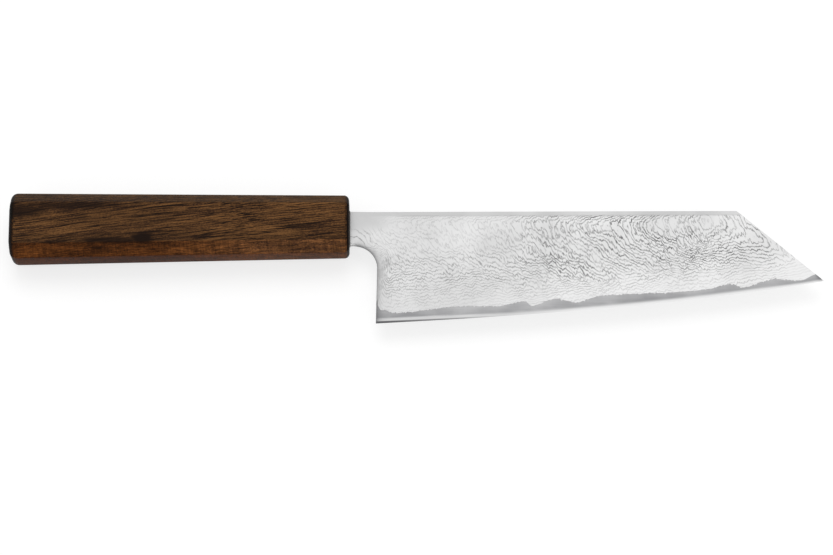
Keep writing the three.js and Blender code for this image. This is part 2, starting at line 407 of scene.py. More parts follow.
        # Etched stainless: a pale satin sheen, dull thin lines, and painted shade round the choil and
        # heel.
        material, tree, shader = blank_material("etched layered stainless steel")
        place = add_node(tree, "ShaderNodeTexCoord").outputs["Object"]
        noted = {
            name: add_node(tree, "ShaderNodeAttribute", attribute_name=name).outputs["Fac"]
            for name in ("layers", "border_layers", "inside", "etch", "painted_shade", "shade", "restless")
        }
        strewn = {
            name: add_node(
                tree,
                "ShaderNodeTexNoise",
                {"Vector": place, "Scale": 1.0 / (size * MM), "Detail": detail},
            ).outputs["Fac"]
            for name, size, detail in (
                ("border", self.border_mm, 2.0),
                ("breaks", self.break_mm, 2.0),
                ("clusters", self.cluster_mm, 2.0),
                ("clouds", self.cloud_mm, 3.0),
            )
        }
        unrest = add_node(
            tree,
            "ShaderNodeMath",
            {0: self.unrest(tree, place), 1: noted["restless"]},
            operation="MULTIPLY",
        ).outputs[0]
        rolled = self.lines(tree, noted["layers"], unrest)
        border = self.lines(tree, noted["border_layers"], unrest)
        # The noise has a mean of a half, so the border strays by half its reach to either side.
        inside = add_node(
            tree,
            "ShaderNodeMath",
            {0: strewn["border"], 1: self.border_stray_mm, 2: noted["inside"]},
            operation="MULTIPLY_ADD",
        ).outputs[0]
        inside = add_node(
            tree,
            "ShaderNodeMapRange",
            {
                "Value": inside,
                "From Min": (self.border_stray_mm - self.border_blend_mm) / 2.0,
                "From Max": (self.border_stray_mm + self.border_blend_mm) / 2.0,
            },
            interpolation_type="SMOOTHSTEP",
        ).outputs["Result"]
        bite = add_node(tree, "ShaderNodeMix", {"Factor": inside, 2: border, 3: rolled}).outputs[0]
        broken = add_node(
            tree,
            "ShaderNodeMapRange",
            {"Value": strewn["breaks"], "From Min": 0.36, "From Max": 0.6, "To Min": 0.45},
            interpolation_type="SMOOTHSTEP",
        ).outputs["Result"]
        gathered = add_node(
            tree,
            "ShaderNodeMapRange",
            {
                "Value": strewn["clusters"],
                "From Min": 0.32,
                "From Max": 0.66,
                "To Min": 0.78,
                "To Max": 1.12,
            },
        ).outputs["Result"]
        for share in (broken, gathered, noted["etch"]):
            bite = add_node(tree, "ShaderNodeMath", {0: bite, 1: share}, operation="MULTIPLY").outputs[0]
        cloud = add_node(
            tree,
            "ShaderNodeMapRange",
            {
                "Value": strewn["clouds"],
                "From Min": 0.3,
                "From Max": 0.7,
                "To Min": -self.cloud_depth,
                "To Max": self.cloud_depth,
            },
        ).outputs["Result"]
        # The shade attribute is painted shade; the clouds add random tone to it.
        shade = add_node(
            tree, "ShaderNodeMath", {0: noted["shade"], 1: cloud}, operation="ADD", use_clamp=True
        ).outputs[0]
        colour = linear(self.pale)
        # Mixes in order: painted shade with its random clouds, the etched lines, then the darker painted
        # shade round choil, heel and crease.
        for share, tone in ((shade, self.shaded), (bite, self.etched), (noted["painted_shade"], self.painted_shade)):
            colour = add_node(
                tree, "ShaderNodeMix", {"Factor": share, 6: colour, 7: linear(tone)}, data_type="RGBA"
            ).outputs[2]
        rough = add_node(
            tree,
            "ShaderNodeMapRange",
            {"Value": bite, "To Min": self.roughness, "To Max": self.etched_roughness},
        ).outputs["Result"]
        tree.links.new(colour, shader.inputs["Base Color"])
        tree.links.new(rough, shader.inputs["Roughness"])
        shader.inputs["Metallic"].default_value = 1.0
        return material


@dataclass(frozen=True)
class HardCoreSteel:
    """High-carbon core steel, hazed by the polishing stones above a bright sharpened bevel.

    The haze is a cloudy darker grey with faint streaks along the edge. The sharpened bevel is bright,
    and painted shade darkens the coarse first bevel at the heel, the back of the heel and the tip's cut.
    """

    haze: str = "#C0C0C1"
    cloud: str = "#9A9A9C"
    bevel: str = "#EDEDED"
    # Colour of the painted shade on the heel's back, the coarse first bevel and the tip's cut.
    painted_shade: str = "#626264"
    roughness: float = 0.38
    cloud_mm: float = 16.0
    # The stones' scratches are some hundredths of a millimetre wide, which is too fine to show, so
    # they are drawn as wider streaks.
    streak_mm: float = 0.7
    streak_stretch: float = 0.12
    streak_depth: float = 0.2
    lower_depth: float = 0.2

    def material(self) -> bpy.types.Material:
        """Build the material from the piece's own attributes and solid noise.

        Returns:
            The finished material.
        """
        # Stone-polished steel: a dull, cloudy grey sheen that ends in one bright line at the edge.
        material, tree, shader = blank_material("stone-polished high-carbon steel")
        place = add_node(tree, "ShaderNodeTexCoord").outputs["Object"]
        noted = {
            name: add_node(tree, "ShaderNodeAttribute", attribute_name=name).outputs["Fac"]
            for name in ("bevel", "painted_shade", "depth")
        }
        cloudy = add_node(
            tree,
            "ShaderNodeTexNoise",
            {"Vector": place, "Scale": 1.0 / (self.cloud_mm * MM), "Detail": 3.0},
        ).outputs["Fac"]
        stretched = add_node(
            tree, "ShaderNodeMapping", {"Vector": place, "Scale": (self.streak_stretch, 1.0, 1.0)}
        ).outputs[0]
        streak = add_node(
            tree,
            "ShaderNodeTexNoise",
            {"Vector": stretched, "Scale": 1.0 / (self.streak_mm * MM), "Detail": 1.0},
        ).outputs["Fac"]
        for share, gain in ((streak, self.streak_depth), (noted["depth"], -self.lower_depth)):
            cloudy = add_node(
                tree, "ShaderNodeMath", {0: share, 1: gain, 2: cloudy}, operation="MULTIPLY_ADD"
            ).outputs[0]
        cloudy = add_node(
            tree, "ShaderNodeMapRange", {"Value": cloudy, "From Min": 0.3, "From Max": 0.75}
        ).outputs["Result"]
        colour = linear(self.cloud)
        for share, tone in (
            (cloudy, self.haze),
            (noted["bevel"], self.bevel),
            (noted["painted_shade"], self.painted_shade),
        ):
            colour = add_node(
                tree, "ShaderNodeMix", {"Factor": share, 6: colour, 7: linear(tone)}, data_type="RGBA"
            ).outputs[2]
        tree.links.new(colour, shader.inputs["Base Color"])
        shader.inputs["Roughness"].default_value = self.roughness
        shader.inputs["Metallic"].default_value = 1.0
        return material


@dataclass(frozen=True)
class Stain:
    """A long dark mark in the wood, such as a knot or the streak that runs out of it.

    Place and reach are in millimetres from the middle of the handle's front face.
    """

    place: tuple[float, float, float]
    reach: tuple[float, float, float]
    depth: float


@dataclass(frozen=True)
class DarkWood:
    """Oiled, open-grained dark hardwood, planed to flats.

    Golden brown fibres between nearly black, long pores that rise a few degrees towards the blade.
    The lower bevels cut across the rays of the wood, so they are redder and finely ribbed, and the
    end grain has soaked up more oil and is almost black. A faint sheen from the oil.
    """

    deep: str = "#2E1E16"
    light: str = "#7F5833"
    pore: str = "#1E140F"
    ray_red: str = "#FAD6B4"
    ray_pale: str = "#FFF4F2"
    ray_gain: float = 1.9
    ray_change_mm: tuple[float, float] = (-75.0, -30.0)
    # Tints of painted shade: for the upper bevels, which face the light, and for the underside.
    upper_bevel_shade: str = "#C9D0DC"
    shadow_side: str = "#DAC2A0"
    end_grain: str = "#4A423E"
    roughness: float = 0.5
    sheen_level: float = 0.04
    grain_rise_degrees: float = 6.5
    sway_mm: float = 45.0
    sway_reach_mm: float = 2.6
    band_mm: tuple[float, float] = (60.0, 6.0)
    band_weight: float = 0.6
    # Fibres and pores are two tenths of a millimetre wide at most. That is too fine to show, so they
    # are drawn about as wide as one pixel of the render.
    fibre_mm: tuple[float, float] = (22.0, 0.4)
    pore_mm: tuple[float, float] = (15.0, 0.36)
    pore_depth_mm: float = 0.2
    fleck_mm: tuple[float, float] = (0.7, 0.34)
    fleck_weight: float = 0.7
    rib_mm: tuple[float, float] = (0.55, 5.0)
    rib_weight: float = 1.4
    blotch_mm: tuple[float, float] = (9.0, 3.0)
    ragged_mm: float = 3.0
    stains: tuple[Stain, ...] = (
        Stain((-78.0, -6.4, 9.2), (7.5, 3.4, 5.0), 1.0),
        Stain((-90.0, -7.2, 9.2), (22.0, 2.2, 4.0), 0.9),
        Stain((-126.0, 4.6, 9.4), (17.0, 5.0, 5.0), 0.8),
        Stain((-104.0, 6.6, 9.4), (30.0, 2.0, 4.0), 0.8),
        Stain((-70.0, -6.6, 9.0), (90.0, 4.2, 5.0), 0.36),
        Stain((-88.0, 2.5, 9.4), (34.0, 8.0, 5.0), 0.3),
        Stain((-94.0, -10.0, 6.5), (6.0, 2.8, 6.0), 0.55),
        Stain((-42.5, -9.6, 6.5), (2.8, 3.0, 6.0), 0.5),
        Stain((-23.4, -9.8, 6.5), (6.5, 2.4, 6.0), 0.42),
        Stain((-4.0, -9.8, 6.5), (3.4, 2.4, 6.0), 0.4),
    )

    def streaks(
        self,
        tree: bpy.types.NodeTree,
        grain: bpy.types.NodeSocket,
        size: tuple[float, float],
        detail: float,
    ) -> bpy.types.NodeSocket:
        """Draw solid noise that is stretched along the grain.

        Args:
            tree: node tree of the material.
            grain: place in the wood, with x along the grain.
            size: length and width of the streaks in millimetres.
            detail: octaves of finer noise.

        Returns:
            Noise from nought to one.
        """
        drawn = add_node(
            tree,
            "ShaderNodeMapping",
            {"Vector": grain, "Scale": (size[0] * MM, size[1] * MM, size[1] * MM)},
            vector_type="TEXTURE",
        ).outputs[0]
        return add_node(
            tree,
            "ShaderNodeTexNoise",
            {"Vector": drawn, "Scale": 1.0, "Detail": detail, "Roughness": 0.6},
        ).outputs["Fac"]

    def stained(
        self, tree: bpy.types.NodeTree, place: bpy.types.NodeSocket, front: Vector
    ) -> bpy.types.NodeSocket:
        """Lay the stains over each other, all with ragged borders.

        Args:
            tree: node tree of the material.
            place: place on the piece.
            front: middle of the handle's front face, in metres.

        Returns:
            Darkness from nought to one.
        """
        ragged = add_node(
            tree,
            "ShaderNodeTexNoise",
            {"Vector": place, "Scale": 1.0 / (self.ragged_mm * MM), "Detail": 2.0},
        ).outputs["Fac"]
        dark = 0.0
        for stain in self.stains:
            ball = add_node(
                tree,
                "ShaderNodeMapping",
                {
                    "Vector": place,
                    "Location": front + Vector(stain.place) * MM,
                    "Scale": Vector(stain.reach) * MM,
                },
                vector_type="TEXTURE",
            ).outputs[0]
            inside = add_node(
                tree, "ShaderNodeTexGradient", {"Vector": ball}, gradient_type="SPHERICAL"
            ).outputs["Fac"]
            inside = add_node(
                tree, "ShaderNodeMath", {0: ragged, 1: 0.5, 2: inside}, operation="MULTIPLY_ADD"
            ).outputs[0]
            inside = add_node(
                tree,
                "ShaderNodeMapRange",
                {"Value": inside, "From Min": 0.26, "From Max": 0.95, "To Max": stain.depth},
                interpolation_type="SMOOTHSTEP",
            ).outputs["Result"]
            dark = add_node(tree, "ShaderNodeMath", {0: inside, 1: dark}, operation="MAXIMUM").outputs[0]
        return dark

    def rays(self, tree: bpy.types.NodeTree, along: bpy.types.NodeSocket) -> bpy.types.NodeSocket:
        """Tint the lower bevels, finely ribbed, red at the butt and paler towards the blade.

        Args:
            tree: node tree of the material.
            along: place in the wood, with x along the grain.

        Returns:
            Colour by which the wood is multiplied.
        """
        towards_blade = add_node(tree, "ShaderNodeSeparateXYZ", {"Vector": along}).outputs["X"]
        towards_blade = add_node(
            tree,
            "ShaderNodeMapRange",
            {
                "Value": towards_blade,
                "From Min": self.ray_change_mm[0] * MM,
                "From Max": self.ray_change_mm[1] * MM,
            },
        ).outputs["Result"]
        ray = add_node(
            tree,
            "ShaderNodeMix",
            {"Factor": towards_blade, 6: linear(self.ray_red), 7: linear(self.ray_pale)},
            data_type="RGBA",
        ).outputs[2]
        rib = self.streaks(tree, along, self.rib_mm, 2.0)
        blotch = self.streaks(tree, along, self.blotch_mm, 2.0)
        ribbed = add_node(
            tree, "ShaderNodeMath", {0: rib, 1: self.rib_weight, 2: blotch}, operation="MULTIPLY_ADD"
        ).outputs[0]
        ribbed = add_node(
            tree,
            "ShaderNodeMapRange",
            {"Value": ribbed, "From Min": 0.85, "From Max": 1.55, "To Min": 0.58, "To Max": 1.27},
        ).outputs["Result"]
        gain = add_node(
            tree, "ShaderNodeMapRange", {"Value": towards_blade, "To Min": 1.0, "To Max": self.ray_gain}
        ).outputs["Result"]
        for share in (ribbed, gain):
            ray = add_node(
                tree, "ShaderNodeVectorMath", {0: ray, 1: share}, operation="MULTIPLY"
            ).outputs[0]
        return ray

    def material(self, front: Vector) -> bpy.types.Material:
        """Build the material from solid noise, the stains and the way each face is cut.

        Args:
            front: middle of the handle's front face, in metres.

        Returns:
            The finished material.
        """
        # Oiled open-grained wood: brown and black streaks, dark dents at the pores, hardly any gloss.
        material, tree, shader = blank_material("oiled dark hardwood")
        place = add_node(tree, "ShaderNodeTexCoord").outputs["Object"]
        facing = {
            name: add_node(tree, "ShaderNodeAttribute", attribute_name=name).outputs["Fac"]
            for name in ("to_spine", "to_end")
        }
        along = add_node(
            tree,
            "ShaderNodeMapping",
            {
                "Vector": place,
                "Location": front,
                "Rotation": (0.0, 0.0, math.radians(self.grain_rise_degrees)),
            },
            vector_type="TEXTURE",
        ).outputs[0]
        sway = add_node(
            tree,
            "ShaderNodeTexNoise",
            {"Vector": along, "Scale": 1.0 / (self.sway_mm * MM), "Detail": 1.0},
        ).outputs["Color"]
        reach = self.sway_reach_mm * MM
        grain = add_node(
            tree,
            "ShaderNodeVectorMath",
            {0: sway, 1: (0.0, reach, reach), 2: along},
            operation="MULTIPLY_ADD",
        ).outputs[0]
        tone = self.streaks(tree, grain, self.fibre_mm, 4.0)
        band = self.streaks(tree, grain, self.band_mm, 2.0)
        fleck = self.streaks(tree, along, self.fleck_mm, 2.0)
        for share, weight in ((band, self.band_weight), (fleck, self.fleck_weight)):
            tone = add_node(
                tree, "ShaderNodeMath", {0: share, 1: weight, 2: tone}, operation="MULTIPLY_ADD"
            ).outputs[0]
        tone = add_node(
            tree, "ShaderNodeMapRange", {"Value": tone, "From Min": 0.94, "From Max": 1.36}
        ).outputs["Result"]
        pored = add_node(
            tree,
            "ShaderNodeMapRange",
            {"Value": self.streaks(tree, grain, self.pore_mm, 3.0), "From Min": 0.5, "From Max": 0.58},
            interpolation_type="SMOOTHSTEP",
        ).outputs["Result"]
        bevelled = add_node(
            tree, "ShaderNodeMath", {0: facing["to_spine"]}, operation="ABSOLUTE"
        ).outputs[0]
        open_pores = add_node(
            tree,
            "ShaderNodeMapRange",
            {"Value": bevelled, "From Min": 0.3, "From Max": 0.6, "To Min": 1.0, "To Max": 0.6},
        ).outputs["Result"]
        pored = add_node(
            tree, "ShaderNodeMath", {0: pored, 1: open_pores}, operation="MULTIPLY"
        ).outputs[0]
        wood = linear(self.deep)
        for share, dye in (
            (tone, self.light),
            (pored, self.pore),
            (self.stained(tree, place, front), self.pore),
        ):
            wood = add_node(
                tree, "ShaderNodeMix", {"Factor": share, 6: wood, 7: linear(dye)}, data_type="RGBA"
            ).outputs[2]
        # Lower bevels, upper bevels, underside and ends, each from one way of facing to another. The
        # upper bevels and the underside get painted shade.
        for name, start, end, tint in (
            ("to_spine", -0.3, -0.6, self.rays(tree, along)),
            ("to_spine", 0.3, 0.6, linear(self.upper_bevel_shade)),
            ("to_spine", -0.8, -0.97, linear(self.shadow_side)),
            ("to_end", 0.25, 0.6, linear(self.end_grain)),
        ):
            turned = add_node(
                tree, "ShaderNodeMapRange", {"Value": facing[name], "From Min": start, "From Max": end}
            ).outputs["Result"]
            wood = add_node(
                tree,
                "ShaderNodeMix",
                {"Factor": turned, 6: wood, 7: tint},
                data_type="RGBA",
                blend_type="MULTIPLY",
            ).outputs[2]
        bump = add_node(
            tree,
            "ShaderNodeBump",
            {"Strength": 0.3, "Distance": self.pore_depth_mm * MM, "Height": pored},
            invert=True,
        ).outputs["Normal"]
        tree.links.new(wood, shader.inputs["Base Color"])
        tree.links.new(bump, shader.inputs["Normal"])
        shader.inputs["Roughness"].default_value = self.roughness
        shader.inputs["Specular IOR Level"].default_value = self.sheen_level
        return material


@dataclass(frozen=True)
class BondResin:
    """Dark hardened resin: nearly black, a little glossy, with faint dust in it."""

    dark: str = "#2A2622"
    dusty: str = "#433C35"
    roughness: float = 0.4
    # Dust of about a tenth of a millimetre is too fine to show, so it is drawn as larger clouds.
    dust_mm: float = 0.6

    def material(self) -> bpy.types.Material:
        """Build the material from solid noise.

        Returns:
            The finished material.
        """
        # Set epoxy: a dark line with a soft highlight between the wood and the steel.
        material, tree, shader = blank_material("hardened epoxy resin")
        place = add_node(tree, "ShaderNodeTexCoord").outputs["Object"]
        dust = add_node(
            tree,
            "ShaderNodeTexNoise",
            {"Vector": place, "Scale": 1.0 / (self.dust_mm * MM), "Detail": 2.0},
        ).outputs["Fac"]
        colour = add_node(
            tree,
            "ShaderNodeMix",
            {"Factor": dust, 6: linear(self.dark), 7: linear(self.dusty)},
            data_type="RGBA",
        ).outputs[2]
        tree.links.new(colour, shader.inputs["Base Color"])
        shader.inputs["Roughness"].default_value = self.roughness
        return material


# Blade


@dataclass(frozen=True)
class Bulge:
    """The place where the forging hammer bulged the cladding's layers.

    The layers fall away from its top with an even slope on each of its four sides, so that their
    lines close round it in long rings. A ridge dips a little from the top towards the heel, and falls
    along the clip towards the tip. The rings crowd towards the spine and, more gently, towards the
    edge, so their arms bend to run along both. At the heel they are wider apart. The place is in
    millimetres and the slopes are in layers for each millimetre.
    """

    x: float
    y: float
    to_heel: float = 0.52
    to_tip: float = 0.27
    to_spine: float = 0.54
    spine_crowding: Ramp = Ramp(-20.0, 5.0, 0.26, 0.0)
    to_edge: float = 0.57
    edge_crowding: float = 0.008
    heel_from: float = 50.0
    heel_share: float = 0.5
    heel_blend: float = 20.0
    ridge_dip: Ramp = Ramp(0.0, 32.0, 0.0, 2.2)
    ridge_level: float = 7.5
    ridge_bend: float = 4.0
    ridge_fall: float = 0.6
    round_above: float = 1.4
    round_below: float = 1.15
    flat_top: float = 1.5

    def layer(self, x: float, y: float) -> float:
        """Find the layer that lies bare at a point of the face.

        Args:
            x: place towards the tip.
            y: place towards the spine.

        Returns:
            Number of the layer, counted down from the top of the bulge.
        """
        along = x - self.x
        beyond = along - self.ridge_level
        across = y - self.y + self.ridge_fall * (beyond + math.hypot(beyond, self.ridge_bend)) / 2.0
        across += self.ridge_dip.at(-along)
        if along > 0.0:
            fall_along = along * self.to_tip
        else:
            wider = lerp(self.heel_from, -along, self.heel_share)
            fall_along = max(self.to_heel * soft_min(-along, wider, self.heel_blend), 0.0)
        if across > 0.0:
            fall_across = across * (self.to_spine + self.spine_crowding.at(along) * across)
            power = self.round_above
        else:
            fall_across = -across * (self.to_edge - self.edge_crowding * across)
            power = self.round_below
        fall = (fall_along**power + fall_across**power) ** (1.0 / power)
        return -math.hypot(fall, self.flat_top)


@dataclass(frozen=True)
class Station:
    """A straight line across the blade from its underside to its top.

    The cladding starts and the sharpened bevel ends at these distances up the line.
    """

    bottom: Vector
    top: Vector
    cladding_from: float = 0.0
    bevel_at: float = 0.0

    @property
    def length(self) -> float:
        """Length of the line."""
        return (self.top - self.bottom).length

    def at(self, distance: float) -> Vector:
        """Find a point on the line.

        Args:
            distance: distance up the line.

        Returns:
            The point.
        """
        if self.length == 0.0:
            return self.bottom.copy()
        return self.bottom.lerp(self.top, distance / self.length)


@dataclass
class BladeShape:
    """Outline and thickness of the laminated blade and its tang."""

    neck_length: float = 10.0
    length: float = 170.0
    spine_above_axis: float = 5.7
    spine_fall_to_clip: float = 0.55
    neck_below_axis: float = 7.45
    choil_radius: float = 9.0
    choil_lean: float = 0.55
    heel_below_axis: float = 38.15
    tip_below_axis: float = 22.75
    edge_angle_at_heel: float = 2.7
    edge_angle_at_tip: float = 9.4
    clip_length: float = 32.3
    spine_thickness_at_heel: float = 2.1
    spine_thickness_at_tip: float = 1.1
    thickness_behind_edge: float = 0.3
    edge_bevel_height: float = 1.2
    first_bevel_height: float = 0.8
    first_bevel_length: float = 50.0
    grind_roundness: float = 1.6
    core_thickness: float = 0.7
    strip_width: float = 1.75
    spine_easing_height: float = 1.5
    spine_easing_depth: float = 0.3
    choil_easing_width: float = 1.8
    choil_easing_depth: float = 0.35
    tang_length: float = 94.5
    tang_thickness: float = 2.4
    tang_end_thickness: float = 1.8
    tang_end_height: float = 5.0
    resin_bead: float = 0.4
    cladding_above_heel: float = 6.5
    bare_tip_length: float = 3.0
    # Share of the way from heel to tip, and height of the cladding's lower line above the bevel.
    cladding_line: tuple[tuple[float, float], ...] = (
        (0.0, 4.2),
        (0.045, 2.5),
        (0.18, 3.6),
        (0.275, 2.7),
        (0.33, 4.0),
        (0.348, 1.9),
        (0.4, 4.0),
        (0.447, 1.9),
        (0.5, 3.7),
        (0.73, 1.9),
        (0.79, 2.9),
        (0.82, 0.9),
        (0.885, 2.5),
        (0.95, 0.4),
    )
    line_unrest: float = 0.3
    line_unrest_length: float = 3.0
    # How much finer and how strong each octave of the unrest is, and its place in the noise.
    line_octaves: tuple[tuple[float, float, float, float], ...] = (
        (1.0, 1.0, 0.0, 0.0),
        (2.7, 0.5, 9.0, 0.0),
        (4.5, 1.6, 0.0, 7.0),
    )
    line_after_heel: Ramp = Ramp(0.0, 0.02)
    line_before_tip: Ramp = Ramp(0.93, 0.97, 1.0, 0.0)
    least_bare: float = 0.15

    def __post_init__(self) -> None:
        """Work out the corners of the outline."""
        self.heel_x = self.neck_length
        self.tip_x = self.heel_x + self.length
        self.clip_x = self.tip_x - self.clip_length
        choil_y = -self.neck_below_axis - self.choil_radius
        self.choil_top = Vector((self.heel_x + self.choil_lean, choil_y))
        self.choil_centre = Vector((self.choil_top.x - self.choil_radius, self.choil_top.y))
        self.heel = Vector((self.heel_x, -self.heel_below_axis))
        self.tip = Vector((self.tip_x, -self.tip_below_axis))
        self.bare_tip_from = 1.0 - self.bare_tip_length / self.length
        self.seam_height = self.edge_bevel_height + self.cladding_above_heel
        seam_y = self.heel.y + self.seam_height
        self.seam_place = Vector((self.choil_x(seam_y), seam_y))
        self.seam_on_heel = self.half(self.seam_place.x, self.seam_place.y)

    def along(self, x: float) -> float:
        """Share of the way from heel to tip."""
        return (x - self.heel_x) / self.length

    def edge_at(self, x: float) -> float:
        """Find the cutting edge at a place along the blade.

        Args:
            x: place along the blade.

        Returns:
            Height of the edge.
        """
        share = clamp(self.along(x))
        third = self.length / 3.0
        belly = self.heel.y + third * math.tan(math.radians(self.edge_angle_at_heel))
        sweep = self.tip.y - third * math.tan(math.radians(self.edge_angle_at_tip))
        rest = 1.0 - share
        near = rest**3 * self.heel.y + 3.0 * rest**2 * share * belly
        return near + 3.0 * rest * share**2 * sweep + share**3 * self.tip.y

    def spine_at(self, x: float) -> float:
        """Height of the spine at a place along the blade."""
        return self.spine_above_axis - self.spine_fall_to_clip * (x / self.clip_x)

    def top_at(self, x: float) -> float:
        """Find the spine, or the straight cut behind the tip, at a place along the blade.

        Args:
            x: place along the blade.

        Returns:
            Height of the top.
        """
        if x <= self.clip_x:
            return self.spine_at(x)
        return lerp(self.spine_at(self.clip_x), self.tip.y, (x - self.clip_x) / self.clip_length)

    def choil_x(self, y: float) -> float:
        """Back of the heel at a height below the choil's round."""
        down = (self.choil_top.y - y) / (self.choil_top.y - self.heel.y)
        return lerp(self.choil_top.x, self.heel.x, down)

    def from_choil(self, x: float, y: float) -> float:
        """Measure from the neck's underside, the choil or the heel's back.

        Args:
            x: place of the point towards the tip.
            y: place of the point towards the spine.

        Returns:
            Distance of the point from the nearest of them.
        """
        if y < self.choil_top.y:
            return x - self.choil_x(y)
        if x < self.choil_centre.x:
            return y + self.neck_below_axis
        return math.hypot(x - self.choil_centre.x, y - self.choil_centre.y) - self.choil_radius

    def from_clip(self, x: float, y: float) -> float:
        """Measure from the straight cut behind the tip.

        Args:
            x: place of the point towards the tip.
            y: place of the point towards the spine.

        Returns:
            Distance of the point below the cut.
        """
        corner = Vector((self.clip_x, self.spine_at(self.clip_x)))
        run = (self.tip - corner).normalized()
        return (x - corner.x) * run.y - (y - corner.y) * run.x

    def ground_half(self, x: float, y: float) -> float:
        """Measure the ground face before its borders are eased.

        Args:
            x: place of the point towards the tip.
            y: place of the point towards the spine.

        Returns:
            Half the thickness there.
        """
        thickness = (self.spine_thickness_at_heel, self.spine_thickness_at_tip)
        spine = lerp(*thickness, clamp(self.along(x)))
        edge = self.edge_at(x)
        above = y - edge - self.edge_bevel_height
        up = clamp(above / (self.spine_at(x) - edge - self.edge_bevel_height))
        return lerp(self.thickness_behind_edge, spine, 1.0 - (1.0 - up) ** self.grind_roundness) / 2.0

    def half(self, x: float, y: float) -> float:
        """Measure the blade or the tang at a point of its face.

        Args:
            x: place of the point towards the tip.
            y: place of the point towards the spine.

        Returns:
            Half the thickness there.
        """
        if x <= self.resin_bead:
            share = clamp(-x / self.tang_length)
            return lerp(self.tang_thickness, self.tang_end_thickness, share) / 2.0
        sharpened = clamp((y - self.edge_at(x)) / self.edge_bevel_height)
        leaves_neck = ease(x, self.resin_bead, self.heel_x)
        half = lerp(self.tang_thickness / 2.0, self.ground_half(x, y) * sharpened, leaves_neck)
        near_spine = clamp(1.0 - (self.spine_at(x) - y) / self.spine_easing_height)
        near_choil = clamp(1.0 - self.from_choil(x, y) / self.choil_easing_width)
        eased = self.spine_easing_depth * near_spine**2 + self.choil_easing_depth * near_choil**2
        return half - min(eased * leaves_neck, half / 2.0)

    def first_bevel_share(self, x: float) -> float:
        """Share that is left of the coarse first bevel, which fades out ahead of the heel."""
        return clamp(1.0 - (x - self.heel_x) / self.first_bevel_length)

    def cladding_above(self, along: float) -> float:
        """Find the cladding's ragged lower line.

        Args:
            along: share of the way from heel to tip.

        Returns:
            Height of the line above the edge.
        """
        bare_x = self.tip_x - self.bare_tip_length
        last = self.top_at(bare_x) - self.edge_at(bare_x) - self.edge_bevel_height
        line = (*self.cladding_line, (self.bare_tip_from, last))
        after = next((i for i, knot in enumerate(line) if knot[0] >= along and i > 0), len(line) - 1)
        (start, low), (end, high) = line[after - 1], line[after]
        smooth = lerp(low, high, ease(along, start, end))
        place = along * self.length / self.line_unrest_length
        unrest = sum(
            strength * noise.noise(Vector((finer * place, y, z)))
            for finer, strength, y, z in self.line_octaves
        )
        calm = self.line_after_heel.at(along) * self.line_before_tip.at(along)
        return self.edge_bevel_height + max(smooth + self.line_unrest * unrest * calm, self.least_bare)

    def inner(self, station: Station, distance: float) -> Vector:
        """Find a point on the joint between core and cladding, always inside the ground face.

        Args:
            station: line across the blade.
            distance: distance up the line.

        Returns:
            The point, on the right side.
        """
        point = station.at(distance)
        if station.cladding_from > 0.0:
            start = station.at(station.cladding_from)
            seam = self.half(start.x, start.y)
        else:
            seam = self.seam_on_heel
        room = max(self.half(point.x, point.y) - seam, 0.0) / 2.0
        settled = clamp(self.core_thickness / 2.0 - seam, -room, room)
        return Vector((point.x, point.y, seam + settled))

    def outer(self, station: Station, distance: float) -> Vector:
        """Point on the right ground face, at a distance up a line across the blade."""
        point = station.at(distance)
        return Vector((point.x, point.y, self.half(point.x, point.y)))


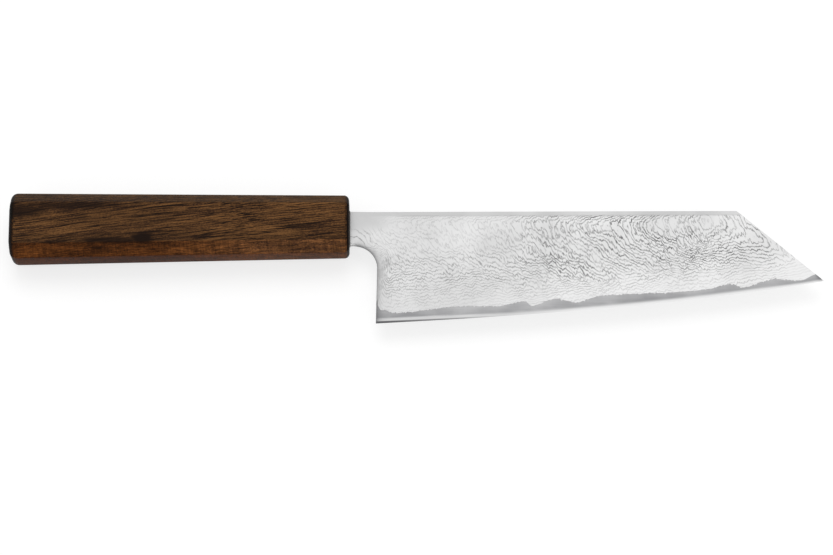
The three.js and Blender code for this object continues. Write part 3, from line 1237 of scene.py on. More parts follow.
@dataclass(frozen=True)
class CladdingFace:
    """How a cladding's etched face changes from place to place, for its finish to read.

    Along the edge, the choil and the clip the layers' lines follow the border, and inside it they
    close round the bulge. Every method takes a point in the blade's own millimetres.
    """

    shape: BladeShape
    bulge: Bulge
    edge_layers_per_mm: float = 0.85
    edge_first_layer: float = -4.0
    neck_layers_per_mm: float = 0.38
    neck_first_layer: float = 15.0
    heel_layers_per_mm: float = 3.0
    heel_turn_degrees: Ramp = Ramp(0.0, 60.0, 1.0, 0.0)
    choil_blend: float = 6.0
    clip_layers_per_mm: float = 0.9
    clip_first_layer: float = 8.0
    clip_blend: float = 3.0
    border_reach: float = 12.0
    heel_border: Ramp = Ramp(42.0, 62.0, 7.0, 0.0)
    clip_border: Ramp = Ramp(105.0, 128.0, 0.0, -2.0)
    choil_reach: float = 7.0
    border_blend: float = 4.0
    etch_from_heel: Ramp = Ramp(0.18, 0.48, 0.64, 1.0)
    etch_to_tip: Ramp = Ramp(0.86, 0.96, 1.0, 0.42)
    etch_above_edge: Ramp = Ramp(4.0, 18.0, 0.3, 1.0)
    etch_up_heel: Ramp = Ramp(-16.0, -7.0, 1.0, 0.45)
    etch_past_heel: Ramp = Ramp(54.0, 80.0)
    etch_off_choil: Ramp = Ramp(1.0, 4.0, 0.5, 1.0)
    etch_past_neck: Ramp = Ramp(4.0, 14.0)
    neck_etch: float = 0.55
    neck_top_from: Ramp = Ramp(-2.5, 0.0)
    neck_top_to: Ramp = Ramp(8.0, 24.0)
    etch_below_strip: Ramp = Ramp(-0.4, 0.2)
    # A lively patch below the bulge, and two bare ones on its top.
    etch_patches: tuple[Patch, ...] = (
        Patch(131.0, -10.0, 16.0, 8.0, 0.12),
        Patch(137.5, 1.4, 6.5, 2.6, -0.85),
        Patch(120.5, -0.5, 7.0, 2.2, -0.7),
    )
    unrest_past_neck: Ramp = Ramp(2.0, 14.0, 0.25, 1.1)
    unrest_to_clip: Ramp = Ramp(136.0, 150.0)
    clip_unrest: float = 0.75
    zigzag_start: Vector = Vector((57.0, -4.0))
    zigzag_end: Vector = Vector((96.0, -23.0))
    zigzag_reach: float = 7.0
    zigzag_unrest: float = 0.2
    lively_patch: Patch = Patch(131.0, -8.0, 15.0, 6.0, 0.65)
    # Painted shade round the choil and the heel, and in the crease under the strip along the spine.
    painted_shade_rise: float = 6.0
    painted_shade_reach: float = 0.9
    painted_shade_at_heel: float = 0.5
    painted_shade_at_choil: float = 0.8
    painted_shade_past_bead: Ramp = Ramp(1.0, 4.0)
    crease_depth: float = 0.2
    crease_width: float = 0.22
    crease_past_neck: Ramp = Ramp(8.0, 30.0)
    # Painted shade of the face: darker towards the heel, the neck and the strip along the spine, paler
    # low down and at the clip.
    shade_from_heel: Ramp = Ramp(0.0, 0.5, 0.46, 0.3)
    shade_to_tip: Ramp = Ramp(0.72, 0.9, 1.0, 0.5)
    shade_up_heel: Ramp = Ramp(0.6, 0.85, 1.0, 0.9)
    shade_up_face: Ramp = Ramp(0.05, 0.5)
    shade_past_heel: Ramp = Ramp(0.2, 0.5)
    strip_shade: Ramp = Ramp(-0.2, 0.05, 0.6, 0.0)
    neck_shade: Ramp = Ramp(4.0, 24.0, 0.56, 0.0)
    neck_shade_up: Ramp = Ramp(-4.0, 1.0, 0.1, 1.0)

    def readings(self) -> dict[str, Callable[[Vector], float]]:
        """List what the finish reads.

        Returns:
            Name of each attribute, and its number at a point of the face.
        """
        return {
            "layers": self.layers_at,
            "border_layers": self.border_layers_at,
            "inside": self.inside_at,
            "etch": self.etch_at,
            "painted_shade": self.painted_shade_at,
            "shade": self.shade_at,
            "restless": self.restless_at,
        }

    def past_strip(self, point: Vector) -> float:
        """Distance of a point below the unetched strip along the spine."""
        return self.shape.spine_at(point.x) - point.y - self.shape.strip_width

    def layers_at(self, point: Vector) -> float:
        """Number of the layer that the grinding has laid bare round the bulge."""
        return self.bulge.layer(point.x, point.y)

    def border_layers_at(self, point: Vector) -> float:
        """Find the layer where the lines run along the edge, the choil and the clip.

        Args:
            point: point of the face.

        Returns:
            Number of the layer.
        """
        shape = self.shape
        edge = self.edge_first_layer + self.edge_layers_per_mm * (point.y - shape.edge_at(point.x))
        out = point.xy - shape.choil_centre
        turned = self.heel_turn_degrees.at(math.degrees(math.atan2(out.y, max(out.x, 0.01))))
        near = max(shape.from_choil(point.x, point.y), 0.0)
        choil = near * lerp(self.neck_layers_per_mm, self.heel_layers_per_mm, turned)
        choil += self.neck_first_layer * (1.0 - turned)
        swept = soft_min(edge, choil, self.choil_blend)
        clip = self.clip_first_layer + self.clip_layers_per_mm * shape.from_clip(point.x, point.y)
        return soft_min(swept, clip, self.clip_blend)

    def inside_at(self, point: Vector) -> float:
        """Measure how far inside the border, where the lines follow edge and choil, a point lies.

        Args:
            point: point of the face.

        Returns:
            Distance in millimetres, below nought on the border.
        """
        reach = self.border_reach + self.heel_border.at(point.x) + self.clip_border.at(point.x)
        above = point.y - self.shape.edge_at(point.x) - reach
        ahead = self.shape.from_choil(point.x, point.y) - self.choil_reach
        return soft_min(above, ahead, self.border_blend)

    def etch_at(self, point: Vector) -> float:
        """Weigh the etched lines: faint at the heel and near the edge, strong before the clip.

        Args:
            point: point of the face.

        Returns:
            Strength of the lines, where one is full.
        """
        shape = self.shape
        along = shape.along(point.x)
        strength = self.etch_from_heel.at(along) * self.etch_to_tip.at(along)
        strength *= self.etch_above_edge.at(point.y - shape.edge_at(point.x))
        strength *= lerp(self.etch_up_heel.at(point.y), 1.0, self.etch_past_heel.at(point.x))
        for patch in self.etch_patches:
            strength *= 1.0 + patch.at(point)
        strength *= self.etch_off_choil.at(shape.from_choil(point.x, point.y))
        strength = lerp(self.neck_etch, strength, self.etch_past_neck.at(point.x))
        strength *= lerp(1.0, self.neck_top_to.at(point.x), self.neck_top_from.at(point.y))
        return strength * self.etch_below_strip.at(self.past_strip(point))

    def restless_at(self, point: Vector) -> float:
        """Weigh how the layers waver: little in the neck, most on a slant and in one lively patch.

        Args:
            point: point of the face.

        Returns:
            Share of the full unrest.
        """
        run = self.zigzag_end - self.zigzag_start
        share = clamp((point.xy - self.zigzag_start).dot(run) / run.length_squared)
        off = (point.xy - self.zigzag_start - run * share).length / self.zigzag_reach
        calm = self.unrest_past_neck.at(point.x)
        calm = lerp(calm, self.clip_unrest, self.unrest_to_clip.at(point.x))
        return calm + self.zigzag_unrest * math.exp(-off * off) + self.lively_patch.at(point)

    def painted_shade_at(self, point: Vector) -> float:
        """Weigh the painted shade round the choil and the heel and in the crease under the strip.

        Args:
            point: point of the face.

        Returns:
            Darkness from nought to one, gone a few millimetres into the face.
        """
        shape = self.shape
        if point.x < shape.resin_bead:
            return 0.0
        near = max(shape.from_choil(point.x, point.y), 0.0)
        up = ease(point.y, shape.heel.y, shape.choil_top.y + self.painted_shade_rise)
        ground = lerp(self.painted_shade_at_heel, self.painted_shade_at_choil, up) * math.exp(-near / self.painted_shade_reach)
        crease = self.crease_depth * math.exp(-((self.past_strip(point) / self.crease_width) ** 2))
        return max(
            ground * self.painted_shade_past_bead.at(point.x),
            crease * self.crease_past_neck.at(point.x),
        )

    def shade_at(self, point: Vector) -> float:
        """Weigh the painted shade, darker towards neck and heel and in the strip along the spine, palest
        low down and at the clip.

        Args:
            point: point of the face.

        Returns:
            Share of the painted shade.
        """
        shape = self.shape
        along = shape.along(point.x)
        edge = shape.edge_at(point.x)
        above = (point.y - edge) / (shape.spine_at(point.x) - edge)
        # Painted shade along the face, then in the strip along the spine and in the neck beside the
        # handle.
        tone = self.shade_from_heel.at(along) * self.shade_to_tip.at(along)
        upwards = (self.shade_up_heel.at(above), self.shade_up_face.at(above))
        tone *= lerp(*upwards, self.shade_past_heel.at(along))
        strip = self.strip_shade.at(self.past_strip(point))
        neck = self.neck_shade.at(point.x) * self.neck_shade_up.at(point.y)
        return clamp(tone + strip + neck)


@dataclass(frozen=True)
class CoreFace:
    """How the bare core changes from place to place, for its finish to read.

    Every method takes a point in the blade's own millimetres.
    """

    shape: BladeShape
    bevel_glint: Ramp = Ramp(58.0, 92.0, 0.62, 1.0)
    bevel_to_tip: Ramp = Ramp(150.0, 175.0)
    bevel_full: Ramp = Ramp(35.0, 66.0, 1.5, 0.3)
    bevel_full_at_tip: float = 0.1
    bevel_end: Ramp = Ramp(15.0, 45.0, 2.2, 1.75)
    bevel_end_at_tip: float = 1.1
    least_band: float = 0.4
    heel_depth: Ramp = Ramp(32.0, 48.0, 0.7, 0.0)
    # Painted shade on the coarse first bevel, the heel's back and the tip's cut.
    first_bevel_border: Ramp = Ramp(-0.05, 0.05, 1.0, 0.0)
    first_bevel_strength: float = 3.0
    heel_reach: float = 1.4
    heel_dark: float = 0.85
    tip_from: Ramp = Ramp(-4.0, -2.0)
    tip_to: Ramp = Ramp(-1.5, 0.0, 1.0, 0.0)
    tip_reach: float = 0.7
    tip_dark: float = 0.8

    def readings(self) -> dict[str, Callable[[Vector], float]]:
        """Measure of the core for each attribute that the finish reads."""
        return {"bevel": self.bevel_at, "painted_shade": self.painted_shade_at, "depth": self.depth_at}

    def bevel_at(self, point: Vector) -> float:
        """Weigh the sharpened bevel, crisp at the heel and blended into the band further on.

        Args:
            point: point of the core.

        Returns:
            Brightness from nought to one.
        """
        above = point.y - self.shape.edge_at(point.x)
        tip = self.bevel_to_tip.at(point.x)
        full = lerp(self.bevel_full.at(point.x), self.bevel_full_at_tip, tip)
        end = lerp(self.bevel_end.at(point.x), self.bevel_end_at_tip, tip)
        return self.bevel_glint.at(point.x) * (1.0 - ease(above, full, end))

    def depth_at(self, point: Vector) -> float:
        """Measure the way down the bare core, from the cladding's line to the sharpened bevel.

        Args:
            point: point of the core.

        Returns:
            Share of the way down, and more at the heel, where the band is darker.
        """
        shape = self.shape
        line = shape.cladding_above(clamp(shape.along(point.x)))
        above = point.y - shape.edge_at(point.x)
        down = clamp((line - above) / max(line - shape.edge_bevel_height, self.least_band))
        return down + self.heel_depth.at(point.x)

    def painted_shade_at(self, point: Vector) -> float:
        """Weigh the painted shade on the heel's back, the coarse first bevel and the tip's cut.

        Args:
            point: point of the core.

        Returns:
            Darkness from nought to one.
        """
        shape = self.shape
        above = point.y - shape.edge_at(point.x)
        fade = shape.first_bevel_share(point.x)
        first = self.first_bevel_border.at(above - shape.first_bevel_height * fade)
        first *= min(1.0, self.first_bevel_strength * fade)
        heel = math.exp(-max(shape.from_choil(point.x, point.y), 0.0) / self.heel_reach)
        past_tip = point.x - shape.tip_x
        tip = self.tip_from.at(past_tip) * self.tip_to.at(past_tip)
        tip *= math.exp(-max(shape.from_clip(point.x, point.y), 0.0) / self.tip_reach)
        return max(first, heel * self.heel_dark, tip * self.tip_dark)


@dataclass
class Blade:
    """Core and claddings of the blade, laid out station by station from the tang's end to the tip."""

    front: Vector
    shape: BladeShape = field(default_factory=BladeShape)
    cladding_finish: LayeredSteel = LayeredSteel()
    core_finish: HardCoreSteel = HardCoreSteel()
    right_bulge: Bulge = Bulge(135.0, 2.0)
    left_bulge: Bulge = Bulge(124.0, 1.0, to_heel=0.56, ridge_fall=0.45)
    neck_steps: int = 8
    choil_arc_steps: int = 36
    heel_steps: int = 30
    edge_steps: int = 640
    bare_tip_steps: int = 10
    border_rows: int = 9
    face_rows: int = 24
    bare_rows: int = 7
    bevel_rows: int = 3
    below_strip: float = 0.5
    joint_row: float = 0.25
    fan_reach: float = 16.0
    fan_length: float = 60.0
    first_bevel_most: float = 0.8

    def neck_stations(self) -> list[Station]:
        """Lay lines across the tang and the neck.

        Returns:
            Lines from the tang's end to the start of the choil.
        """
        shape = self.shape
        middle = (shape.spine_above_axis - shape.neck_below_axis) / 2.0
        half_end = Vector((0.0, shape.tang_end_height / 2.0))
        end = Vector((-shape.tang_length, middle))
        lines = [Station(end - half_end, end + half_end)]
        steps = [i / self.neck_steps for i in range(self.neck_steps)]
        neck = [lerp(shape.resin_bead, shape.choil_centre.x, step) for step in steps]
        for x in (0.0, *neck, shape.choil_centre.x):
            lines.append(Station(Vector((x, -shape.neck_below_axis)), Vector((x, shape.spine_at(x)))))
        return lines

    def heel_stations(self) -> list[Station]:
        """Fan lines out from the choil and the heel's back.

        Returns:
            Lines from the start of the choil to the heel.
        """
        shape = self.shape
        bottoms = []
        for i in range(1, self.choil_arc_steps + 1):
            turn = math.pi / 2.0 * (1.0 - i / self.choil_arc_steps)
            round_off = Vector((math.cos(turn), math.sin(turn))) * shape.choil_radius
            bottoms.append(shape.choil_centre + round_off)
        for i in range(1, self.heel_steps + 1):
            bottoms.append(shape.choil_top.lerp(shape.heel, i / (self.heel_steps + 1)))
        lines = []
        for i, bottom in enumerate(bottoms):
            fan = lerp(shape.choil_centre.x, shape.heel_x + self.fan_reach, (i + 1) / (len(bottoms) + 1))
            height = bottom.y - shape.heel.y
            line = lerp(shape.cladding_above(0.0), shape.seam_height, height / shape.seam_height)
            bare = max(line - height, 0.0)
            lines.append(Station(bottom, Vector((fan, shape.spine_at(fan))), bare))
        return lines

    def edge_stations(self) -> list[Station]:
        """Lay lines up from the edge.

        Returns:
            Lines from the heel to the tip.
        """
        shape = self.shape
        shares = [shape.bare_tip_from * i / self.edge_steps for i in range(self.edge_steps)]
        for i in range(self.bare_tip_steps + 1):
            shares.append(lerp(shape.bare_tip_from, 1.0, i / self.bare_tip_steps))
        lines = []
        for along in shares:
            x = lerp(shape.heel_x, shape.tip_x, along)
            bottom = Vector((x, shape.edge_at(x)))
            lean = self.fan_reach * clamp(1.0 - (x - shape.heel_x) / self.fan_length) ** 2
            top = Vector((x + lean, shape.top_at(x + lean)))
            length = (top - bottom).length
            bare = shape.cladding_above(along) if along < shape.bare_tip_from else length
            bevel = min(shape.edge_bevel_height, length / 2.0)
            lines.append(Station(bottom, top, min(bare, length), bevel))
        return lines

    def stations(self) -> list[Station]:
        """Lines across the whole blade, from the tang's end to the tip."""
        return [*self.neck_stations(), *self.heel_stations(), *self.edge_stations()]

    def rows_up_face(self, station: Station) -> list[float]:
        """Share out the rows of points on the cladding's face, closer together at its two borders.

        Args:
            station: line across the blade.

        Returns:
            Distances up the line.
        """
        span = station.length - station.cladding_from
        low = min(self.shape.choil_easing_width, span / 4.0)
        high = min(self.shape.strip_width + self.below_strip, span / 4.0)
        rows = [low * i / self.border_rows for i in range(self.border_rows)]
        rows += [lerp(low, span - high, i / self.face_rows) for i in range(self.face_rows)]
        rows += [span - high * (1.0 - i / self.border_rows) for i in range(self.border_rows + 1)]
        return [station.cladding_from + row for row in rows]

    def joint(self, station: Station) -> list[Vector]:
        """Lay points down the joint between core and cladding.

        Args:
            station: line across the blade.

        Returns:
            Points from the top down to the cladding's lower line.
        """
        low = lerp(station.cladding_from, station.length, self.joint_row)
        rows = (station.length, low, station.cladding_from)
        return [self.shape.inner(station, row) for row in rows]

    def cladding_rings(self, side: Side) -> list[list[Vector]]:
        """Lay rings round one cladding, up its ground face and back down its joint with the core.

        Args:
            side: face of the blade that it covers.

        Returns:
            Rings of points, one for each line across the blade.
        """
        rings = []
        for station in self.stations():
            face = [self.shape.outer(station, row) for row in self.rows_up_face(station)]
            ring = [*face, *self.joint(station), face[0]]
            rings.append([Vector((point.x, point.y, point.z * side.value)) for point in ring])
        return rings

    def core_rings(self) -> list[list[Vector]]:
        """Lay rings round the core, down its right side to the edge and up its left side.

        Returns:
            Rings of points, one for each line across the blade.
        """
        rings = []
        for station in self.stations():
            legs = (
                (station.cladding_from, station.bevel_at, self.bare_rows),
                (station.bevel_at, self.first_bevel(station), self.bevel_rows),
            )
            rows = []
            for start, end, count in legs:
                rows += [lerp(start, end, (i + 1) / count) for i in range(count)]
            rows.append(0.0)
            point = self.shape.outer if station.cladding_from > 0.0 else self.shape.inner
            down = [*self.joint(station), *(point(station, row) for row in rows)]
            up = [Vector((spot.x, spot.y, -spot.z)) for spot in reversed(down)]
            rings.append([*down, *up, down[0]])
        return rings

    def first_bevel(self, station: Station) -> float:
        """Find the top of the coarse first bevel.

        Args:
            station: line across the blade.

        Returns:
            Height above the edge, always below the top of the sharpened bevel.
        """
        if station.bevel_at == 0.0:
            return 0.0
        height = self.shape.first_bevel_height * self.shape.first_bevel_share(station.bottom.x)
        return min(height, station.bevel_at * self.first_bevel_most)

    def sheet(self, name: str, rings: list[list[Vector]], sharp_rows: Sequence[int]) -> bpy.types.Object:
        """Lay a grid over rings of points.

        Args:
            name: name of the piece.
            rings: points of each ring, all rings of one length, the last point on the first.
            sharp_rows: places on the ring that are crisp edges.

        Returns:
            The sheet, with its place in its mesh.
        """
        across, along = len(rings[0]), len(rings)
        bpy.ops.object.select_all(action="DESELECT")
        bpy.ops.mesh.primitive_grid_add(x_subdivisions=along - 1, y_subdivisions=across - 1, size=1.0)
        piece = bpy.context.active_object
        piece.name = name
        piece.data.name = name
        mesh = piece.data
        rows = []
        for vertex in mesh.vertices:
            ring = round((vertex.co.x + 0.5) * (along - 1))
            row = round((vertex.co.y + 0.5) * (across - 1))
            rows.append(row)
            vertex.co = self.front + rings[ring][row] * MM
        for edge in mesh.edges:
            first, second = (rows[i] for i in edge.vertices)
            edge.use_edge_sharp = first == second and first in sharp_rows
        return piece

    def sew(self) -> None:
        """Merge the borders of the sheet just laid, close the tang's end and smooth the skin."""
        bpy.ops.object.mode_set(mode="EDIT")
        bpy.ops.mesh.select_all(action="SELECT")
        bpy.ops.mesh.remove_doubles(threshold=0.002 * MM)
        bpy.ops.mesh.dissolve_degenerate(threshold=0.001 * MM)
        bpy.ops.mesh.select_all(action="DESELECT")
        bpy.ops.mesh.select_mode(type="EDGE")
        bpy.ops.mesh.select_non_manifold(extend=False)
        bpy.ops.mesh.edge_face_add()
        bpy.ops.mesh.select_all(action="SELECT")
        bpy.ops.mesh.normals_make_consistent(inside=False)
        bpy.ops.mesh.faces_shade_smooth()
        bpy.ops.object.mode_set(mode="OBJECT")

    def note(self, piece: bpy.types.Object, readings: dict[str, Callable[[Vector], float]]) -> None:
        """Keep numbers at every point of a piece, for its finish to read.

        Args:
            piece: blade piece, in the frame.
            readings: name of each attribute, and its number at a point in the blade's millimetres.
        """
        for name, value in readings.items():
            kept = piece.data.attributes.new(name, "FLOAT", "POINT")
            for i, vertex in enumerate(piece.data.vertices):
                kept.data[i].value = value((vertex.co - self.front) / MM)

    def build_cladding(self, side: Side, bulge: Bulge) -> None:
        """Model and dress one cladding.

        Args:
            side: face of the blade that it covers.
            bulge: place where its layers bulge.
        """
        name = f"cladding_{side.name.lower()}"
        rings = self.cladding_rings(side)
        face_count = 2 * self.border_rows + self.face_rows + 1
        sharp = (0, face_count - 1, face_count, len(rings[0]) - 1)
        piece = self.sheet(f"{name}_steel", rings, sharp)
        self.sew()
        self.note(piece, CladdingFace(self.shape, bulge).readings())
        set_in_frame(piece, name, self.cladding_finish.material())

    def build_core(self) -> None:
        """Model and dress the core, crisp at its top, its edge and the borders of its bevels."""
        rings = self.core_rings()
        last = len(rings[0]) - 1
        bevel_row = 2 + self.bare_rows
        edge_row = bevel_row + self.bevel_rows + 1
        right = (0, bevel_row, edge_row - 1, edge_row)
        left = (last, last - 1 - bevel_row, edge_row + 2, edge_row + 1)
        piece = self.sheet("core_hard_steel", rings, (*right, *left))
        self.sew()
        self.note(piece, CoreFace(self.shape).readings())
        set_in_frame(piece, "core_steel", self.core_finish.material())

    def build(self) -> None:
        """Model and dress the three steels."""
        self.build_cladding(Side.RIGHT, self.right_bulge)
        self.build_cladding(Side.LEFT, self.left_bulge)
        self.build_core()


# Handle


@dataclass(frozen=True)
class TangSlot:
    """Blind, tapered slot in the handle, which the tang and its resin fill."""

    height: float = 13.85
    width: float = 3.1
    drop: float = 0.875
    depth: float = 96.5
    end_height: float = 5.7
    end_width: float = 2.5

    @property
    def taper(self) -> tuple[float, float, float]:
        """Scale of the slot's end against its mouth."""
        return (1.0, self.end_height / self.height, self.end_width / self.width)

    def middle(self, front: Vector, proud: float) -> Vector:
        """Middle, in metres, of a block that fills the slot and stands proud of its mouth."""
        depth = (self.depth + proud) * MM
        return front + Vector((proud * MM - depth / 2.0, -self.drop * MM, 0.0))

    def block(self, name: str, front: Vector, proud: float) -> Workpiece:
        """Model a block that fills the slot and stands proud of its mouth.

        Args:
            name: name of the block.
            front: middle of the handle's front face, in metres.
            proud: length ahead of the mouth, in millimetres.

        Returns:
            The tapered block, open in edit mode.
        """
        middle = self.middle(front, proud)
        size = ((self.depth + proud) * MM, self.height * MM, self.width * MM)
        bpy.ops.object.select_all(action="DESELECT")
        bpy.ops.mesh.primitive_cube_add(size=1.0, location=middle, scale=size)
        block = Workpiece(name)
        block.pick_faces(lambda centre, normal: normal.x < -0.9)
        bpy.ops.transform.resize(value=self.taper, center_override=middle)
        return block


@dataclass
class Handle:
    """One-piece octagonal handle, flaring to a rounded butt, with a blind slot for the tang."""

    front: Vector
    finish: DarkWood = DarkWood()
    slot: TangSlot = TangSlot()
    cutter_proud: float = 1.0
    length: float = 129.5
    front_height: float = 22.5
    front_width: float = 17.2
    front_bevel: float = 4.1
    butt_growth_height: float = 1.1415
    butt_growth_width: float = 1.1388
    edge_rounding: float = 0.35
    front_round: float = 1.5
    butt_round: float = 2.9
    butt_crown: float = 0.7
    crown_inset: float = 1.9
    crown_steps: int = 3
    rim_easing: float = 0.25
    rim_degrees: float = 32.0
    smooth_degrees: float = 24.0

    def octagon(self) -> Workpiece:
        """Bevel a tapered bar to an octagon, and round its butt and its front rim.

        Returns:
            The bar, open in edit mode.
        """
        body_length = (self.length - self.butt_crown) * MM
        butt_x = self.front.x - body_length
        butt = Vector((butt_x, self.front.y, self.front.z))
        bpy.ops.object.select_all(action="DESELECT")
        bpy.ops.mesh.primitive_cube_add(
            size=1.0,
            location=(self.front + butt) / 2.0,
            scale=(body_length, self.front_height * MM, self.front_width * MM),
        )
        bar = Workpiece("handle_wood")
        small = 0.01 * MM
        bar.pick_edges(lambda a, b: abs(a.x - b.x) > small)
        bpy.ops.mesh.bevel(offset=self.front_bevel * MM, segments=1, affect="EDGES")
        bar.pick_faces(lambda middle, normal: normal.x < -0.9)
        bpy.ops.transform.resize(
            value=(1.0, self.butt_growth_height, self.butt_growth_width), center_override=butt
        )
        bar.pick_edges(lambda a, b: abs(a.x - butt_x) < small and abs(b.x - butt_x) < small)
        bpy.ops.mesh.bevel(offset=self.butt_round * MM, segments=9, profile=0.5, affect="EDGES")
        bar.pick_edges(lambda a, b: abs(a.x - self.front.x) < small and abs(b.x - self.front.x) < small)
        bpy.ops.mesh.bevel(offset=self.front_round * MM, segments=3, profile=0.42, affect="EDGES")
        self.crown(bar)
        bar.pick_edges(lambda a, b: abs(a.x - b.x) > small and min(a.x, b.x) > butt_x - small)
        bpy.ops.mesh.bevel(offset=self.edge_rounding * MM, segments=3, profile=0.5, affect="EDGES")
        return bar

    def crown(self, bar: Workpiece) -> None:
        """Swell the flat of the butt in rings.

        Args:
            bar: handle's bar, open in edit mode.
        """
        done = 0.0
        bar.pick_faces(lambda middle, normal: normal.x < -0.999)
        for i in range(1, self.crown_steps + 1):
            bpy.ops.mesh.inset(thickness=self.crown_inset * MM)
            swell = self.butt_crown * (1.0 - (1.0 - i / self.crown_steps) ** 2)
            bpy.ops.transform.translate(value=((done - swell) * MM, 0.0, 0.0))
            done = swell

    def note_cuts(self, wood: bpy.types.Object) -> None:
        """Keep on every face how far it faces the spine and the ends, for the finish to read.

        Args:
            wood: finished handle.
        """
        to_spine = wood.data.attributes.new("to_spine", "FLOAT", "FACE")
        to_end = wood.data.attributes.new("to_end", "FLOAT", "FACE")
        for i, face in enumerate(wood.data.polygons):
            to_spine.data[i].value = face.normal.y
            to_end.data[i].value = abs(face.normal.x)

    def build(self) -> None:
        """Model and dress the handle."""
        wood = self.octagon().close()
        rims = wood.modifiers.new("rims", "BEVEL")
        rims.width = self.rim_easing * MM
        rims.segments = 2
        rims.limit_method = "ANGLE"
        rims.angle_limit = math.radians(self.rim_degrees)
        cutter = self.slot.block("slot_cutter", self.front, self.cutter_proud).close()
        slot = wood.modifiers.new("slot", "BOOLEAN")
        slot.object = cutter
        slot.operation = "DIFFERENCE"
        bpy.ops.object.select_all(action="DESELECT")
        wood.select_set(True)
        bpy.context.view_layer.objects.active = wood
        bpy.ops.object.modifier_apply(modifier="rims")
        bpy.ops.object.modifier_apply(modifier="slot")
        bpy.data.objects.remove(cutter)
        bpy.ops.object.shade_smooth_by_angle(angle=math.radians(self.smooth_degrees))
        self.note_cuts(wood)
        set_in_frame(wood, "handle", self.finish.material(self.front))


@dataclass
class TangBond:
    """Resin sleeve between slot and tang, with a low bead round the neck."""

    front: Vector
    finish: BondResin = BondResin()
    slot: TangSlot = TangSlot()
    tang_length: float = 94.5
    gap: float = 0.35
    bead: float = 0.4
    bead_round: float = 0.315
    smooth_degrees: float = 35.0

    def build(self) -> None:
        """Model and dress the resin."""
        sleeve = self.slot.block("tang_resin", self.front, self.bead)
        middle = self.slot.middle(self.front, self.bead)
        sleeve.pick_faces(lambda centre, normal: normal.x > 0.9)
        bpy.ops.mesh.inset(thickness=self.gap * MM)
        bpy.ops.mesh.extrude_region_move(
            TRANSFORM_OT_translate={"value": (-(self.tang_length + self.bead) * MM, 0.0, 0.0)}
        )
        bpy.ops.transform.resize(value=self.slot.taper, center_override=middle)
        small = 0.01 * MM
        margin = 0.1 * MM
        rim_x = self.front.x + self.bead * MM
        high = self.slot.height / 2.0 * MM - margin
        wide = self.slot.width / 2.0 * MM - margin

        def outer_rim(*ends: Vector) -> bool:
            """Whether both ends of an edge lie on the outer rim of the mouth."""
            at_mouth = all(abs(end.x - rim_x) < small for end in ends)
            return at_mouth and all(
                abs(end.y - middle.y) > high or abs(end.z - middle.z) > wide for end in ends
            )

        sleeve.pick_edges(outer_rim)
        bpy.ops.mesh.bevel(offset=self.bead_round * MM, segments=4, profile=0.5, affect="EDGES")
        resin = sleeve.close()
        bpy.ops.object.shade_smooth_by_angle(angle=math.radians(self.smooth_degrees))
        set_in_frame(resin, "tang_bond", self.finish.material())


# Studio


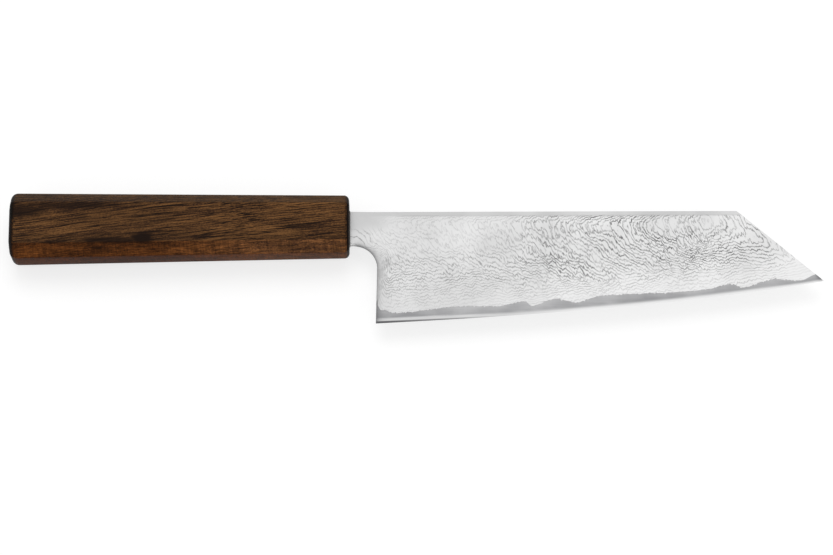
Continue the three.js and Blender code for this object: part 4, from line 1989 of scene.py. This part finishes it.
@dataclass
class Studio:
    """Pale floor, plain soft light and the camera."""

    floor_size: float = 6.0
    floor_colour: str = "#A0A0A0"
    floor_glow: float = 0.7
    dome_level: float = 0.7
    key_energy: float = 6.6
    key_size: float = 0.9
    key_direction: tuple[float, float, float] = (-0.05, 0.47, 0.88)
    key_distance: float = 1.4
    focal_pixels: float = 3156.9
    sensor_width: float = 36.0
    camera_distance: float = 1.2
    camera_elevation: float = 73.97
    camera_azimuth: float = 0.05
    camera_roll: float = 0.47
    target: tuple[float, float, float] = (-0.00025, 0.00002, 0.00977)
    axis_pixel: tuple[float, float] = (415.1, 258.4)

    def seen_white(self, tree: bpy.types.NodeTree) -> bpy.types.NodeSocket:
        """Tell the rays by which the background is seen, straight or in a reflection.

        Args:
            tree: node tree of the background.

        Returns:
            One for those rays and nought for the others.
        """
        path = add_node(tree, "ShaderNodeLightPath")
        seen = path.outputs["Is Camera Ray"]
        for kind in ("Is Glossy Ray", "Is Transmission Ray"):
            seen = add_node(
                tree, "ShaderNodeMath", {0: seen, 1: path.outputs[kind]}, operation="MAXIMUM"
            ).outputs[0]
        return seen

    def build_floor(self) -> None:
        """White sweep that keeps the knife's shadow."""
        bpy.ops.object.select_all(action="DESELECT")
        bpy.ops.mesh.primitive_plane_add(size=self.floor_size, location=(0.0, 0.0, 0.0))
        floor = bpy.context.active_object
        floor.name = "floor"
        material = bpy.data.materials.new("white paper sweep")
        material.use_nodes = True
        tree = material.node_tree
        tree.nodes.clear()
        paper = add_node(tree, "ShaderNodeBsdfDiffuse", {"Color": linear(self.floor_colour)})
        seen = self.seen_white(tree)
        level = add_node(
            tree, "ShaderNodeMath", {0: seen, 1: self.floor_glow}, operation="MULTIPLY"
        ).outputs[0]
        glow = add_node(tree, "ShaderNodeEmission", {"Strength": level})
        both = add_node(
            tree, "ShaderNodeAddShader", {0: paper.outputs[0], 1: glow.outputs[0]}
        )
        add_node(tree, "ShaderNodeOutputMaterial", {"Surface": both.outputs[0]})
        floor.data.materials.append(material)

    def build_light(self) -> None:
        """Even dome of light and one large soft lamp on the spine's side."""
        world = bpy.data.worlds.new("studio")
        world.use_nodes = True
        bpy.context.scene.world = world
        tree = world.node_tree
        tree.nodes.clear()
        seen = self.seen_white(tree)
        level = add_node(
            tree,
            "ShaderNodeMapRange",
            {"Value": seen, "To Min": self.dome_level, "To Max": 1.0},
        ).outputs["Result"]
        dome = add_node(
            tree, "ShaderNodeBackground", {"Color": (1.0, 1.0, 1.0, 1.0), "Strength": level}
        )
        add_node(tree, "ShaderNodeOutputWorld", {"Surface": dome.outputs[0]})
        bpy.ops.object.select_all(action="DESELECT")
        towards = Vector(self.key_direction).normalized()
        bpy.ops.object.light_add(type="AREA", location=towards * self.key_distance)
        lamp = bpy.context.active_object
        lamp.name = "key_lamp"
        lamp.rotation_mode = "QUATERNION"
        lamp.rotation_quaternion = towards.to_track_quat("Z", "Y")
        lamp.data.shape = "DISK"
        lamp.data.size = self.key_size
        lamp.data.energy = self.key_energy
        lamp.visible_glossy = False

    def build_camera(self) -> None:
        """Camera at the photograph's viewing angle and framing."""
        turn = math.radians(self.camera_azimuth)
        rise = math.radians(self.camera_elevation)
        back = Vector(
            (math.sin(turn) * math.cos(rise), -math.cos(turn) * math.cos(rise), math.sin(rise))
        )
        bpy.ops.object.camera_add(location=Vector(self.target) + back * self.camera_distance)
        camera = bpy.context.active_object
        camera.name = "camera"
        aim = (-back).to_track_quat("-Z", "Y")
        roll = Quaternion((0.0, 0.0, 1.0), -math.radians(self.camera_roll))
        camera.rotation_mode = "QUATERNION"
        camera.rotation_quaternion = aim @ roll
        camera.data.sensor_fit = "HORIZONTAL"
        camera.data.sensor_width = self.sensor_width
        camera.data.lens = self.focal_pixels / IMAGE_WIDTH * self.sensor_width
        camera.data.shift_x = (IMAGE_WIDTH / 2.0 - self.axis_pixel[0]) / IMAGE_WIDTH
        camera.data.shift_y = (self.axis_pixel[1] - IMAGE_HEIGHT / 2.0) / IMAGE_WIDTH
        bpy.context.scene.camera = camera

    def build(self) -> None:
        """Set up floor, light and camera."""
        self.build_floor()
        self.build_light()
        self.build_camera()
        bpy.context.scene.view_settings.view_transform = "Standard"


# Whole knife


def handle_front() -> Vector:
    """Middle of the handle's front face, on the handle's axis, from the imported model."""
    low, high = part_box("handle")
    return Vector((high.x, (low.y + high.y) / 2.0, (low.z + high.z) / 2.0))


def main() -> None:
    """Build the studio and the knife in order."""
    logging.basicConfig(level=logging.INFO, format="%(name)s %(message)s")
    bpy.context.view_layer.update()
    front = handle_front()
    Studio().build()
    Handle(front).build()
    TangBond(front).build()
    Blade(front).build()


if __name__ == "__main__":
    main()
